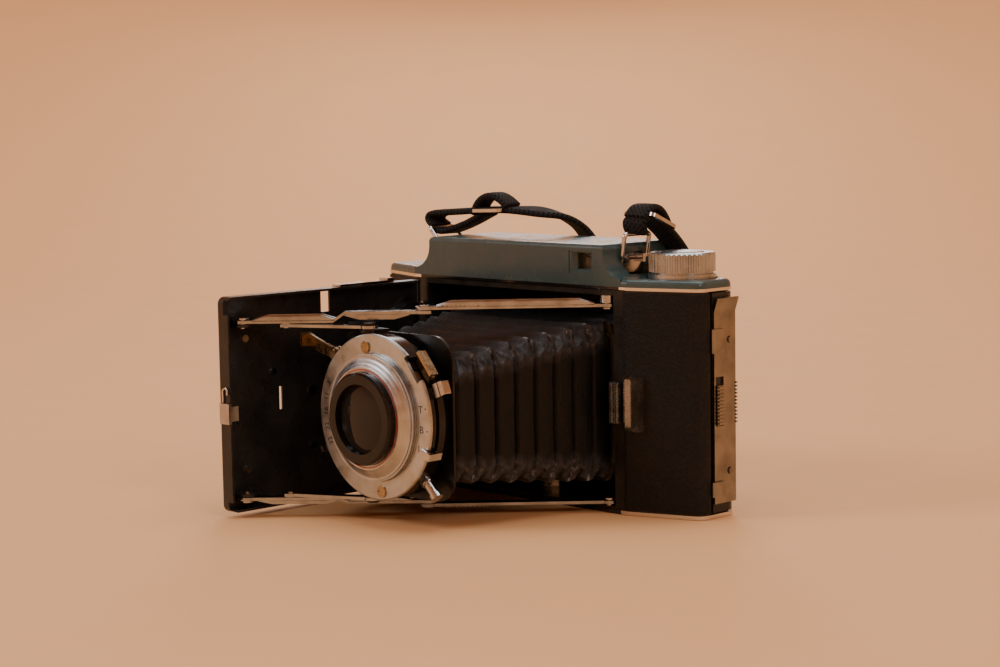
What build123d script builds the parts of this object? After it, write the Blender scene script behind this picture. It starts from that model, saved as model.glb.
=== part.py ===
"""A self-erecting folding camera for 6 x 9 cm roll film, opened, standing on its base.

Frame: the origin is the middle of the tripod socket's mouth in the base. +X is to the right as seen
from in front of the camera, the lens looks along -Y, and +Z is up. Sizes are in millimetres.
"""

from build123d import *
import os
from math import atan2, cos, degrees, hypot, radians, sin

os.makedirs("parts", exist_ok=True)

# ---------------------------------------------------------------- driving dimensions
FRONT = -18.0                   # front face of the body, around the bay
FILM = FRONT + 31.0             # film plane
REAR = FRONT + 36.5             # outer face of the back cover
BASE = 1.5                      # thickness of the base plate
ROOF = 75.8                     # top of the metal body
DECK = 77.0                     # top of the chrome trim, where the plastic housing sits
BAY_HALF = 46.0                 # half the width of the bay that the lens folds into
SHOULDER = 52.0                 # half the width of the flat front
CORNER_X, CORNER_Y = 77.0, FRONT + 8.6
BAY_FLOOR, BAY_CEILING = 2.4, 74.0
GATE_WIDTH, GATE_HEIGHT = 89.0, 57.0
GATE_Z = 37.7                   # middle of the film gate
WALL = 1.4
CHAMBER_END = 73.2              # half the width inside the spool chambers
END_BACK = FRONT + 24.5         # where the square ends begin to slope in towards the back
END_SLOPE = 1.6                 # how far they come in for each millimetre of depth
STEP_X, STEP_Y = 74.9, FRONT + 12.6     # step in the body's ends, under the back cover's flanges

AXIS_Z = 36.2                   # lens axis height
PLATE_Y = FRONT - 57.0          # front face of the lens standard
LENS_SEAT = PLATE_Y - 9.0       # front of the shutter case
CASE_R = 27.2

HINGE_X, HINGE_Y = -46.5, FRONT - 2.5       # door hinge axis
DOOR_LENGTH = 90.0
DOOR_OUT = 3.5                  # hinge axis to the door's outer face
DOOR_RIM = 2.2                  # hinge axis to the door's rim
DOOR_LOW, DOOR_HIGH = 2.0, 75.4
SHEET = 0.8

SPOOL_X, SPOOL_Y = 60.5, FRONT + 18.5
SPOOL_LOW, SPOOL_HIGH = 5.6, 70.0
SPOOL_R = 12.0

# Plan positions of the strut pivots, with the door open.
DOOR_PIVOT = (HINGE_X + 1.0, HINGE_Y - 83.0)
ELBOW = (0.0, FRONT - 43.5)
BAY_PIVOT = (42.5, FRONT + 1.0)
STANDARD_PIVOT = (-7.26, FRONT - 62.0)
STRIP = 1.0                     # strut thickness
RIVET_R, EYE_R = 1.2, 1.25

CATCH_Z = 38.2                  # middle of the door catch
CATCH_LEFT, CATCH_RIGHT = SHOULDER - 0.9, SHOULDER + 6.1

# Height of each strut layer, above and below the lens: middle of the strip.
TOP = {"lug": 64.1, "arm": 65.4, "low": 66.7, "high": 69.4, "short": 70.7}
BOTTOM = {"lug": 8.9, "arm": 7.6, "low": 6.3, "high": 5.1, "short": 3.8}
SIDES = ((TOP, 1), (BOTTOM, -1))


def save(shape, name):
    """Labels a finished piece and writes it as one STEP file."""
    shape.label = name
    export_step(shape, f"parts/{name}.step")


def box(x0, x1, y0, y1, z0, z1, mode=Mode.ADD):
    """A block between two opposite corners."""
    with Locations(((x0 + x1) / 2, (y0 + y1) / 2, (z0 + z1) / 2)):
        Box(x1 - x0, y1 - y0, z1 - z0, mode=mode)


def post(x, y, z0, z1, radius, mode=Mode.ADD):
    """An upright cylinder."""
    with Locations((x, y, (z0 + z1) / 2)):
        Cylinder(radius, z1 - z0, mode=mode)


def barrel(y_front, y_back, radius, x=0.0, z=AXIS_Z, mode=Mode.ADD):
    """A cylinder along the lens axis direction."""
    with Locations(Location((x, (y_front + y_back) / 2, z), (90, 0, 0))):
        Cylinder(radius, y_back - y_front, mode=mode)


def body_outline(back, grow=0.0, end_back=END_BACK, mode=Mode.ADD):
    """Adds the body's plan to the open sketch: flat front, receding shoulders, ends that slope in."""
    front = FRONT - grow
    end_x = CORNER_X + grow
    back_x = end_x - END_SLOPE * (back - end_back)
    with BuildLine() as plan:
        Polyline(
            (-SHOULDER, front), (SHOULDER, front), (end_x, CORNER_Y - grow / 2), (end_x, end_back),
            (back_x, back), (-back_x, back), (-end_x, end_back), (-end_x, CORNER_Y - grow / 2), close=True,
        )
    face = make_face(plan.edges(), mode=Mode.PRIVATE).face()
    corners = face.vertices().filter_by(lambda vertex: vertex.Y > front + 1)
    add(face.fillet_2d(4.0 + grow, corners), mode=mode)


def catch_pocket():
    """Cuts the pocket that the door catch's plate sits in."""
    box(CATCH_LEFT, CATCH_RIGHT, FRONT - 2, FRONT + 1.2, CATCH_Z - 9.2, CATCH_Z + 9.2, Mode.SUBTRACT)


# ---------------------------------------------------------------- body
with BuildPart() as body_casting:
    with BuildSketch(Plane.XY.offset(BASE)):
        body_outline(FILM, end_back=END_BACK - 2.2)
    extrude(amount=ROOF - BASE)
    box(-BAY_HALF, BAY_HALF, FRONT - 1, FILM - 2.0, BAY_FLOOR, BAY_CEILING, Mode.SUBTRACT)
    box(-GATE_WIDTH / 2, GATE_WIDTH / 2, FILM - 3, FILM + 1,
        GATE_Z - GATE_HEIGHT / 2, GATE_Z + GATE_HEIGHT / 2, Mode.SUBTRACT)
    for side in (-1, 1):
        # Spool chamber, open at the back, following the shoulder.
        with BuildSketch(Plane.XY.offset(4.0)):
            with BuildLine():
                Polyline(
                    (side * (BAY_HALF + WALL), FILM + 1), (side * (BAY_HALF + WALL), FRONT + WALL),
                    (side * (SHOULDER - 0.3), FRONT + WALL),
                    (side * CHAMBER_END, CORNER_Y - 0.2), (side * CHAMBER_END, FILM + 1), close=True,
                )
            made = make_face()
            fillet(made.vertices().group_by(Axis.Y)[1], 3.0)
        extrude(amount=BAY_CEILING - 4.0 - 1.0, mode=Mode.SUBTRACT)
        # Step that the back cover's end flange closes over.
        x_low, x_high = sorted((side * STEP_X, side * 2 * CORNER_X))
        box(x_low, x_high, STEP_Y, FILM + 1, 0, ROOF + 1, Mode.SUBTRACT)
    post(SPOOL_X, SPOOL_Y, 70, ROOF + 1, 3.1, Mode.SUBTRACT)
    post(0, 0, 0, BAY_FLOOR + 1, 5.6, Mode.SUBTRACT)
    catch_pocket()
save(body_casting.part, "body_casting")

with BuildPart() as base_plate:
    with BuildSketch():
        body_outline(REAR - 0.4, 0.5)
    extrude(amount=BASE)
    post(0, 0, -1, BASE + 1, 5.6, Mode.SUBTRACT)
    fillet(base_plate.faces().sort_by(Axis.Z)[0].outer_wire().edges(), 0.5)
save(base_plate.part, "base_plate")

SOCKET_R, SOCKET_DEPTH = 3.175, 6.0
with BuildPart() as tripod_bush:
    post(0, 0, 0, SOCKET_DEPTH + 1.2, 5.5)
    post(0, 0, -0.1, SOCKET_DEPTH, SOCKET_R, Mode.SUBTRACT)
    post(0, 0, BAY_FLOOR + 0.1, BAY_FLOOR + 0.9, 6.6)
    post(0, 0, -0.1, SOCKET_DEPTH, SOCKET_R, Mode.SUBTRACT)
save(tripod_bush.part, "tripod_bush")

with BuildPart() as top_trim:
    with BuildSketch(Plane.XY.offset(ROOF)):
        body_outline(REAR - 0.4, 0.5)
    extrude(amount=DECK - ROOF)
    fillet(top_trim.faces().sort_by(Axis.Z)[0].outer_wire().edges(), 0.35)
    post(SPOOL_X, SPOOL_Y, ROOF - 1, DECK + 1, 3.1, Mode.SUBTRACT)
save(top_trim.part, "top_trim")

# Leatherette on the two shoulders, wrapped round the corner on to the end.
SKIN = 0.6
with BuildPart() as front_leather:
    with BuildSketch(Plane.XY.offset(BASE + 0.6)):
        body_outline(FILM, SKIN)
        body_outline(FILM, mode=Mode.SUBTRACT)
        Rectangle(2 * (SHOULDER - 1.2), 200, mode=Mode.SUBTRACT)
    extrude(amount=ROOF - BASE - 1.2)
    box(-2 * CORNER_X, 2 * CORNER_X, STEP_Y, REAR, 0, DECK, Mode.SUBTRACT)
    catch_pocket()
save(front_leather.part, "front_leather")

# ---------------------------------------------------------------- plastic top housing
HUMP_LEFT, HUMP_RIGHT, HUMP_TOP = -44.8, 41.3, 90.8
FLANGE_TOP = 79.6
HUMP_BACK = REAR - 2.0
SWEEP = 8.0                     # radius of the hump's concave feet
WINDOW = (25.6, 36.6, 80.8, 88.4)       # viewfinder window: left, right, bottom, top
with BuildPart() as top_housing:
    with BuildSketch(Plane.XY.offset(DECK)):
        body_outline(REAR - 0.8, 0.1)
    extrude(amount=FLANGE_TOP - DECK)
    fillet(top_housing.edges().group_by(Axis.Z)[-1], 1.8)
    # The hump is one profile, seen from the front, with a concave sweep at each foot.
    with BuildSketch(Plane.XZ.offset(0.1 - FRONT)):
        with BuildLine():
            tall = FLANGE_TOP + SWEEP
            dip = SWEEP * (1 - sin(radians(45)))
            Line((HUMP_LEFT - SWEEP, DECK), (HUMP_LEFT - SWEEP, FLANGE_TOP))
            ThreePointArc((HUMP_LEFT - SWEEP, FLANGE_TOP), (HUMP_LEFT - dip, FLANGE_TOP + dip),
                          (HUMP_LEFT, tall))
            Polyline((HUMP_LEFT, tall), (HUMP_LEFT, HUMP_TOP), (HUMP_RIGHT, HUMP_TOP), (HUMP_RIGHT, tall))
            ThreePointArc((HUMP_RIGHT, tall), (HUMP_RIGHT + dip, FLANGE_TOP + dip),
                          (HUMP_RIGHT + SWEEP, FLANGE_TOP))
            Polyline((HUMP_RIGHT + SWEEP, FLANGE_TOP), (HUMP_RIGHT + SWEEP, DECK),
                     (HUMP_LEFT - SWEEP, DECK))
        make_face()
    extrude(amount=FRONT - 0.1 - HUMP_BACK)
    fillet(top_housing.edges().group_by(Axis.Z)[-1], 1.6)
    # Hollow inside.
    box(HUMP_LEFT + 2, HUMP_RIGHT - 2, FRONT + 2.2, HUMP_BACK - 2.2, DECK - 1, HUMP_TOP - 2, Mode.SUBTRACT)
    # Window through the front and the eyepiece through the back.
    box(*WINDOW[:2], FRONT - 1, FRONT + 3, *WINDOW[2:], Mode.SUBTRACT)
    box(WINDOW[0] + 2.5, WINDOW[1] - 2.5, HUMP_BACK - 3, HUMP_BACK + 1,
        WINDOW[2] + 1.5, WINDOW[3] - 1.5, Mode.SUBTRACT)
    # Seat for the wind knob.
    post(SPOOL_X, SPOOL_Y, DECK - 1, FLANGE_TOP + 1, 3.1, Mode.SUBTRACT)
    post(SPOOL_X, SPOOL_Y, FLANGE_TOP - 0.6, HUMP_TOP, 12.2, Mode.SUBTRACT)
    # Pockets for the strap lugs in the hump's sides.
    for side_x in (HUMP_LEFT, HUMP_RIGHT):
        inward = 1.2 if side_x < 0 else -1.2
        x_low, x_high = sorted((side_x + inward, side_x - 12 * inward))
        box(x_low, x_high, FRONT + 9, FRONT + 20, FLANGE_TOP + 0.6, HUMP_TOP - 3, Mode.SUBTRACT)
save(top_housing.part, "top_housing")

with BuildPart() as finder_frame:
    box(WINDOW[0], WINDOW[1], FRONT + 0.2, FRONT + 8, WINDOW[2], WINDOW[3])
    box(WINDOW[0] + 2.6, WINDOW[1] - 0.6, FRONT - 1, FRONT + 9, WINDOW[2] + 1.4, WINDOW[3] - 0.5,
        Mode.SUBTRACT)
    front_edges = finder_frame.faces().sort_by(Axis.Y)[0].inner_wires()[0].edges()
    chamfer(front_edges.sort_by(Axis.X)[0], 1.6)
    bottom_edge = finder_frame.edges().filter_by(Axis.X).filter_by(
        lambda edge: abs(edge.center().Y - FRONT - 0.2) < 0.01
        and abs(edge.center().Z - WINDOW[2] - 1.4) < 0.01)
    chamfer(bottom_edge, 1.0)
save(finder_frame.part, "finder_frame")

with BuildPart() as finder_lenses:
    box(WINDOW[0] + 2.7, WINDOW[1] - 0.7, FRONT + 4.0, FRONT + 5.4, WINDOW[2] + 1.5, WINDOW[3] - 0.6)
    with Locations((WINDOW[0] + 7.7, FRONT - 6.0, (WINDOW[2] + WINDOW[3]) / 2)):
        Sphere(10.6, mode=Mode.SUBTRACT)
    box(WINDOW[0] + 2.6, WINDOW[1] - 2.6, HUMP_BACK - 2.0, HUMP_BACK - 0.5, WINDOW[2] + 1.6, WINDOW[3] - 1.6)
save(finder_lenses.part, "finder_lenses")

# ---------------------------------------------------------------- strap lugs
LUG_Y = FRONT + 14.5
BAIL_FOOT = 86.0                        # height of the bail's lower bar
BAIL_WIDTH = 12.4
# Each bail: x of its foot, x of its top bar, height of its top bar.
BAILS = ((HUMP_LEFT - 1.2, -53.5, 93.5), (HUMP_RIGHT + 1.2, 43.9, 94.0))
with BuildPart() as strap_lugs:
    for foot_x, _, _ in BAILS:
        out = -1 if foot_x < 0 else 1
        plate = foot_x - out * 2.4
        box(*sorted((plate, plate + out * 1.2)), LUG_Y - 5, LUG_Y + 5, FLANGE_TOP + 1.2, 87.0)
        for y_mid in (LUG_Y - 4.0, LUG_Y + 4.0):
            box(*sorted((plate + out, foot_x + out)), y_mid - 0.6, y_mid + 0.6, BAIL_FOOT - 1.8, BAIL_FOOT + 1)
            with Locations(Location((foot_x, y_mid, BAIL_FOOT), (90, 0, 0))):
                Cylinder(0.85, 3.0, mode=Mode.SUBTRACT)
    near, far = LUG_Y - BAIL_WIDTH / 2, LUG_Y + BAIL_WIDTH / 2
    for foot_x, top_x, top_z in BAILS:
        with BuildLine() as wire:
            FilletPolyline((foot_x, LUG_Y, BAIL_FOOT), (foot_x, near, BAIL_FOOT), (top_x, near, top_z),
                           (top_x, far, top_z), (foot_x, far, BAIL_FOOT), (foot_x, LUG_Y + 0.4, BAIL_FOOT),
                           radius=1.2)
        with BuildSketch(Plane((foot_x, LUG_Y, BAIL_FOOT), x_dir=(1, 0, 0), z_dir=(0, -1, 0))):
            Circle(0.8)
        sweep(path=wire.wires()[0])
save(strap_lugs.part, "strap_lugs")

# ---------------------------------------------------------------- wind knob and spools
KNOB_LOW, KNOB_TOP, KNOB_R = FLANGE_TOP - 0.2, 88.6, 11.5
with BuildPart() as wind_knob:
    post(SPOOL_X, SPOOL_Y, KNOB_LOW, KNOB_LOW + 1.7, KNOB_R)
    post(SPOOL_X, SPOOL_Y, KNOB_LOW + 1.7, KNOB_LOW + 2.3, KNOB_R - 1.2)
    post(SPOOL_X, SPOOL_Y, KNOB_LOW + 2.3, KNOB_TOP - 0.4, KNOB_R - 0.3)
    chamfer(wind_knob.faces().sort_by(Axis.Z)[-1].edges(), 0.6)
    with Locations((SPOOL_X, SPOOL_Y, KNOB_TOP - 0.5)):
        Cone(KNOB_R - 2.2, 6.5, 0.9)
    FLUTES = 40
    for turn in range(FLUTES):
        angle = radians(turn * 360 / FLUTES)
        post(SPOOL_X + (KNOB_R - 0.1) * cos(angle), SPOOL_Y + (KNOB_R - 0.1) * sin(angle),
             KNOB_LOW + 2.3, KNOB_TOP, 0.62, Mode.SUBTRACT)
save(wind_knob.part, "wind_knob")

ROLLER_X, ROLLER_Y, ROLLER_R = 50.2, FILM - 1.9, 1.8
with BuildPart() as winding_shaft:
    post(SPOOL_X, SPOOL_Y, SPOOL_HIGH - 3.0, KNOB_LOW, 2.3)
    box(SPOOL_X - 4.0, SPOOL_X + 4.0, SPOOL_Y - 0.8, SPOOL_Y + 0.8, SPOOL_HIGH - 2.4, SPOOL_HIGH - 0.2)
    post(SPOOL_X, SPOOL_Y, SPOOL_HIGH + 0.2, SPOOL_HIGH + 1.6, 5.0)
save(winding_shaft.part, "winding_shaft")

for side_x, name in ((SPOOL_X, "takeup_spool"), (-SPOOL_X, "supply_spool")):
    with BuildPart() as spool:
        post(side_x, SPOOL_Y, SPOOL_LOW, SPOOL_HIGH, 4.8)
        for z_low in (SPOOL_LOW, SPOOL_HIGH - 0.8):
            post(side_x, SPOOL_Y, z_low, z_low + 0.8, SPOOL_R)
        post(side_x, SPOOL_Y, SPOOL_LOW - 1, SPOOL_HIGH + 1, 2.6, Mode.SUBTRACT)
        # Key slots across both ends, and the slit that takes the paper.
        for z_low, z_high in ((SPOOL_LOW - 1, SPOOL_LOW + 2.6), (SPOOL_HIGH - 2.6, SPOOL_HIGH + 1)):
            box(side_x - 4.2, side_x + 4.2, SPOOL_Y - 0.95, SPOOL_Y + 0.95, z_low, z_high, Mode.SUBTRACT)
        box(side_x - 0.5, side_x + 0.5, SPOOL_Y - 6, SPOOL_Y + 6, 14, 62, Mode.SUBTRACT)
    save(spool.part, name)

with BuildPart() as spool_pins:
    for side_x in (-SPOOL_X, SPOOL_X):
        post(side_x, SPOOL_Y, 4.0, SPOOL_LOW + 2.0, 2.5)
        post(side_x, SPOOL_Y, 4.0, SPOOL_LOW - 0.3, 4.5)
    post(-SPOOL_X, SPOOL_Y, SPOOL_HIGH - 2.0, BAY_CEILING - 1.0, 2.5)
    post(-SPOOL_X, SPOOL_Y, SPOOL_HIGH + 0.3, BAY_CEILING - 1.0, 4.5)
    for side in (-1, 1):
        post(side * ROLLER_X, ROLLER_Y, 4.0, BAY_CEILING - 1.0, 0.8)
save(spool_pins.part, "spool_pins")

for side, name in ((-1, "film_roller_left"), (1, "film_roller_right")):
    with BuildPart() as roller:
        post(side * ROLLER_X, ROLLER_Y, 4.6, BAY_CEILING - 1.6, ROLLER_R)
        post(side * ROLLER_X, ROLLER_Y, 8, BAY_CEILING - 5.0, ROLLER_R - 0.3, Mode.SUBTRACT)
        post(side * ROLLER_X, ROLLER_Y, 8, BAY_CEILING - 5.0, ROLLER_R - 0.6)
        post(side * ROLLER_X, ROLLER_Y, 4.0, BAY_CEILING, 0.85, Mode.SUBTRACT)
    save(roller.part, name)

# ---------------------------------------------------------------- bay fittings
with BuildPart() as bellows_frame:
    y_back = FILM - 3.0
    box(-BAY_HALF + 0.4, BAY_HALF - 0.4, y_back, y_back + 1.0, 6.0, 69.5)
    box(-GATE_WIDTH / 2 + 1, GATE_WIDTH / 2 - 1, y_back - 1, y_back + 2,
        GATE_Z - GATE_HEIGHT / 2 + 1, GATE_Z + GATE_HEIGHT / 2 - 1, Mode.SUBTRACT)
save(bellows_frame.part, "bellows_frame")

with BuildPart() as bay_pivots:
    for layer, up in SIDES:
        wall = BAY_CEILING if up > 0 else BAY_FLOOR
        near, far = sorted((layer["short"] - up * 0.5, wall))
        post(*BAY_PIVOT, near - (0.6 if up > 0 else 0), far + (0 if up > 0 else 0.6), RIVET_R)
        low, high = sorted((layer["short"] + up * (STRIP / 2 + 0.3), wall))
        if high - low > 1.0:
            post(*BAY_PIVOT, low, high, 2.6)
        cap = layer["short"] - up * (STRIP / 2 + 0.3)
        low, high = sorted((cap, cap - up * 0.5))
        post(*BAY_PIVOT, low, high, 2.2)
save(bay_pivots.part, "bay_pivots")

# Door catch: a sprung ridged button on the right of the bay, in a plate let into the shoulder.
with BuildPart() as catch_plate:
    box(CATCH_LEFT, CATCH_RIGHT, FRONT - 1.0, FRONT + 1.2, CATCH_Z - 9.2, CATCH_Z + 9.2)
    box(CATCH_LEFT + 0.6, CATCH_RIGHT - 0.6, FRONT - 2.0, FRONT + 0.4,
        CATCH_Z - 8.2, CATCH_Z + 8.2, Mode.SUBTRACT)
save(catch_plate.part, "catch_plate")

LIP_X = CATCH_LEFT - 1.3                 # right edge of the button, clear of the plate when pressed
with BuildPart() as door_catch:
    box(BAY_HALF - 0.2, LIP_X, FRONT - 2.4, FRONT - 0.9, CATCH_Z - 7.0, CATCH_Z + 7.0)
    for step in range(3):
        x_rib = BAY_HALF + 0.6 + step * 1.1
        box(x_rib, x_rib + 0.5, FRONT - 2.8, FRONT - 2.2, CATCH_Z - 6.6, CATCH_Z + 6.6)
    for step in range(13):
        z_tooth = CATCH_Z - 6.6 + step * 1.06
        box(LIP_X - 1.0, LIP_X, FRONT - 3.2, FRONT - 2.2, z_tooth, z_tooth + 0.5)
save(door_catch.part, "door_catch")

# ---------------------------------------------------------------- back cover
BACK_LOW, BACK_HIGH = 2.0, 75.4
FLANGE_Y = FRONT + 14.0                  # front edge of the cover's end flanges
END_X = CORNER_X + 0.3
BACK_PIN_X, BACK_PIN_Y = -79.2, FRONT + 13.1
BACK_KNUCKLES = ((6.0, 21.7), (30.3, 46.7), (55.3, 71.0))
BACK_KNUCKLES_BODY = ((22.0, 30.0), (47.0, 55.0))
DOOR_KNUCKLES = ((20.0, 30.0), (46.0, 56.0))
DOOR_KNUCKLES_BODY = ((8.0, 19.7), (30.3, 45.7), (56.3, 67.0))
DOOR_KNUCKLE_R, DOOR_PIN_R = 2.0, 0.9
KNUCKLE_R, BACK_PIN_R = 1.5, 0.7
WINDOW_X, WINDOW_Z = -24.0, 38.0         # red window


def cover_plan(inset, front):
    """The back cover's plan, flat across the back with sloping ends, moved inwards by inset."""
    turn = atan2(END_SLOPE, 1.0)            # the slope's angle away from the square end
    end_x, back = END_X - inset, REAR - inset
    end_back = END_BACK - inset * sin(turn / 2) / cos(turn / 2)
    back_x = end_x - END_SLOPE * (back - end_back)
    with BuildLine() as plan:
        Polyline((-end_x, front), (end_x, front), (end_x, end_back), (back_x, back),
                 (-back_x, back), (-end_x, end_back), close=True)
    face = make_face(plan.edges(), mode=Mode.PRIVATE).face()
    corners = face.vertices().filter_by(lambda vertex: vertex.Y > front + 1)
    return face.fillet_2d(5.0 - inset, corners)


with BuildPart() as back_cover:
    with BuildSketch(Plane.XY.offset(BACK_LOW)):
        add(cover_plan(0.0, FLANGE_Y))
        add(cover_plan(1.0, FLANGE_Y - 5), mode=Mode.SUBTRACT)
    extrude(amount=BACK_HIGH - BACK_LOW)
    for low, high in BACK_KNUCKLES:
        post(BACK_PIN_X, BACK_PIN_Y, low, high, KNUCKLE_R)
        box(BACK_PIN_X, 0.8 - END_X, FLANGE_Y - 0.4, FLANGE_Y + 0.6, low, high)
        post(BACK_PIN_X, BACK_PIN_Y, low - 1, high + 1, BACK_PIN_R + 0.05, Mode.SUBTRACT)
    barrel(REAR - 3, REAR + 1, 5.0, WINDOW_X, WINDOW_Z, Mode.SUBTRACT)
    # Guide rails for the window's cover.
    for z_rail in (WINDOW_Z - 8.4, WINDOW_Z + 7.2):
        box(WINDOW_X - 9, WINDOW_X + 24, REAR - 0.2, REAR + 1.3, z_rail, z_rail + 1.2)
save(back_cover.part, "back_cover")

with BuildPart() as hinge_knuckles:
    for low, high in BACK_KNUCKLES_BODY:
        post(BACK_PIN_X, BACK_PIN_Y, low, high, KNUCKLE_R)
        box(BACK_PIN_X, -STEP_X, STEP_Y + 0.1, STEP_Y + 0.9, low, high)
        post(BACK_PIN_X, BACK_PIN_Y, low - 1, high + 1, BACK_PIN_R + 0.05, Mode.SUBTRACT)
    for low, high in DOOR_KNUCKLES_BODY:
        post(HINGE_X, HINGE_Y, low, high, DOOR_KNUCKLE_R)
        box(HINGE_X - 2.0, HINGE_X + 0.2, HINGE_Y, FRONT, low, high)
        post(HINGE_X, HINGE_Y, low - 1, high + 1, DOOR_PIN_R + 0.05, Mode.SUBTRACT)
save(hinge_knuckles.part, "hinge_knuckles")

with BuildPart() as hinge_pins:
    post(BACK_PIN_X, BACK_PIN_Y, 5.4, 71.6, BACK_PIN_R)
    post(HINGE_X, HINGE_Y, 7.5, 67.5, DOOR_PIN_R)
save(hinge_pins.part, "hinge_pins")

with BuildPart() as back_leather:
    box(-54, 54, REAR, REAR + 0.5, BACK_LOW + 2, BACK_HIGH - 2)
    fillet(back_leather.edges().filter_by(Axis.Y), 3.0)
    box(WINDOW_X - 9.4, WINDOW_X + 24.4, REAR - 1, REAR + 1, WINDOW_Z - 8.8, WINDOW_Z + 8.8, Mode.SUBTRACT)
save(back_leather.part, "back_leather")

with BuildPart() as red_window:
    barrel(REAR - 0.8, REAR - 0.2, 4.9, WINDOW_X, WINDOW_Z)
save(red_window.part, "red_window")

with BuildPart() as window_cover:
    box(WINDOW_X - 7, WINDOW_X + 7, REAR + 0.2, REAR + 0.9, WINDOW_Z - 6.9, WINDOW_Z + 6.9)
    for step in range(4):
        x_rib = WINDOW_X - 1.8 + step * 1.2
        box(x_rib, x_rib + 0.6, REAR + 0.8, REAR + 1.5, WINDOW_Z - 3.5, WINDOW_Z + 3.5)
save(window_cover.part, "window_cover")

with BuildPart() as pressure_plate:
    box(-46, 46, FILM + 0.5, FILM + 1.1, GATE_Z - 30, GATE_Z + 30)
    fillet(pressure_plate.edges().filter_by(Axis.Y), 4.0)
    barrel(FILM - 1, FILM + 3, 5.5, WINDOW_X, WINDOW_Z, Mode.SUBTRACT)
save(pressure_plate.part, "pressure_plate")

SPRING_GAP = (FILM + 1.15, REAR - 1.05)
with BuildPart() as pressure_springs:
    for x_mid in (-4.0, 26.0):
        with BuildSketch(Plane.XY.offset(GATE_Z - 18)):
            with BuildLine():
                low, high = SPRING_GAP
                ThreePointArc((x_mid - 12, high), (x_mid, low), (x_mid + 12, high))
                Line((x_mid + 12, high), (x_mid + 10.6, high))
                ThreePointArc((x_mid + 10.6, high), (x_mid, low + 0.35), (x_mid - 10.6, high))
                Line((x_mid - 10.6, high), (x_mid - 12, high))
            make_face()
        extrude(amount=36)
save(pressure_springs.part, "pressure_springs")

# Latch on the right end of the cover.
LATCH_X = END_X + 0.7                    # outer face of the latch plate
LATCH_NEAR, LATCH_FAR = FLANGE_Y + 0.1, FLANGE_Y + 11.0
SLOT_LOW, SLOT_HIGH = 31.0, 47.5
with BuildPart() as latch_plate:
    box(END_X, LATCH_X, LATCH_NEAR, LATCH_FAR, 5.0, 71.0)
    with BuildSketch(Plane.XZ.offset(-LATCH_NEAR)):
        with BuildLine():
            Polyline((END_X, 69.0), (LATCH_X, 69.0), (LATCH_X + 1.6, 73.6), (LATCH_X + 1.0, 73.8),
                     (END_X, 70.8), close=True)
        make_face()
    extrude(amount=LATCH_NEAR - LATCH_FAR)
    box(END_X - 1, LATCH_X + 1, FLANGE_Y + 0.8, FLANGE_Y + 4.8, SLOT_LOW, SLOT_HIGH, Mode.SUBTRACT)
    # Two folded clips that stand over the plate's front edge.
    for low, high in ((55.5, 63.5), (7.5, 12.5)):
        box(END_X - 1.5, LATCH_X + 1.1, FLANGE_Y - 1.25, FLANGE_Y - 0.05, low, high)
        box(END_X + 0.05, LATCH_X + 1.1, FLANGE_Y - 0.1, FLANGE_Y + 4.3, low, high)
    fillet(latch_plate.edges().filter_by(Axis.Z).group_by(Axis.Y)[0].group_by(Axis.X)[-1], 1.0)
    for step in range(12):
        z_tooth = SLOT_LOW + 0.4 + step * 1.2
        box(END_X + 0.1, LATCH_X + 0.3, LATCH_FAR - 0.2, LATCH_FAR + 0.6, z_tooth, z_tooth + 0.6)
    for z_mid in (15.5, 59.5):
        with Locations(Location((LATCH_X + 0.25, FLANGE_Y + 8.2, z_mid), (0, 90, 0))):
            Cylinder(1.2, 0.5)
save(latch_plate.part, "latch_plate")

with BuildPart() as latch_slider:
    box(END_X + 0.1, LATCH_X + 0.6, FLANGE_Y + 1.1, FLANGE_Y + 4.5, SLOT_LOW + 0.4, SLOT_HIGH - 2.9)
    for step in range(11):
        z_tooth = SLOT_LOW + 0.7 + step * 1.2
        box(LATCH_X + 0.5, LATCH_X + 1.1, FLANGE_Y + 1.4, FLANGE_Y + 4.2, z_tooth, z_tooth + 0.6)
save(latch_slider.part, "latch_slider")

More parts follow.
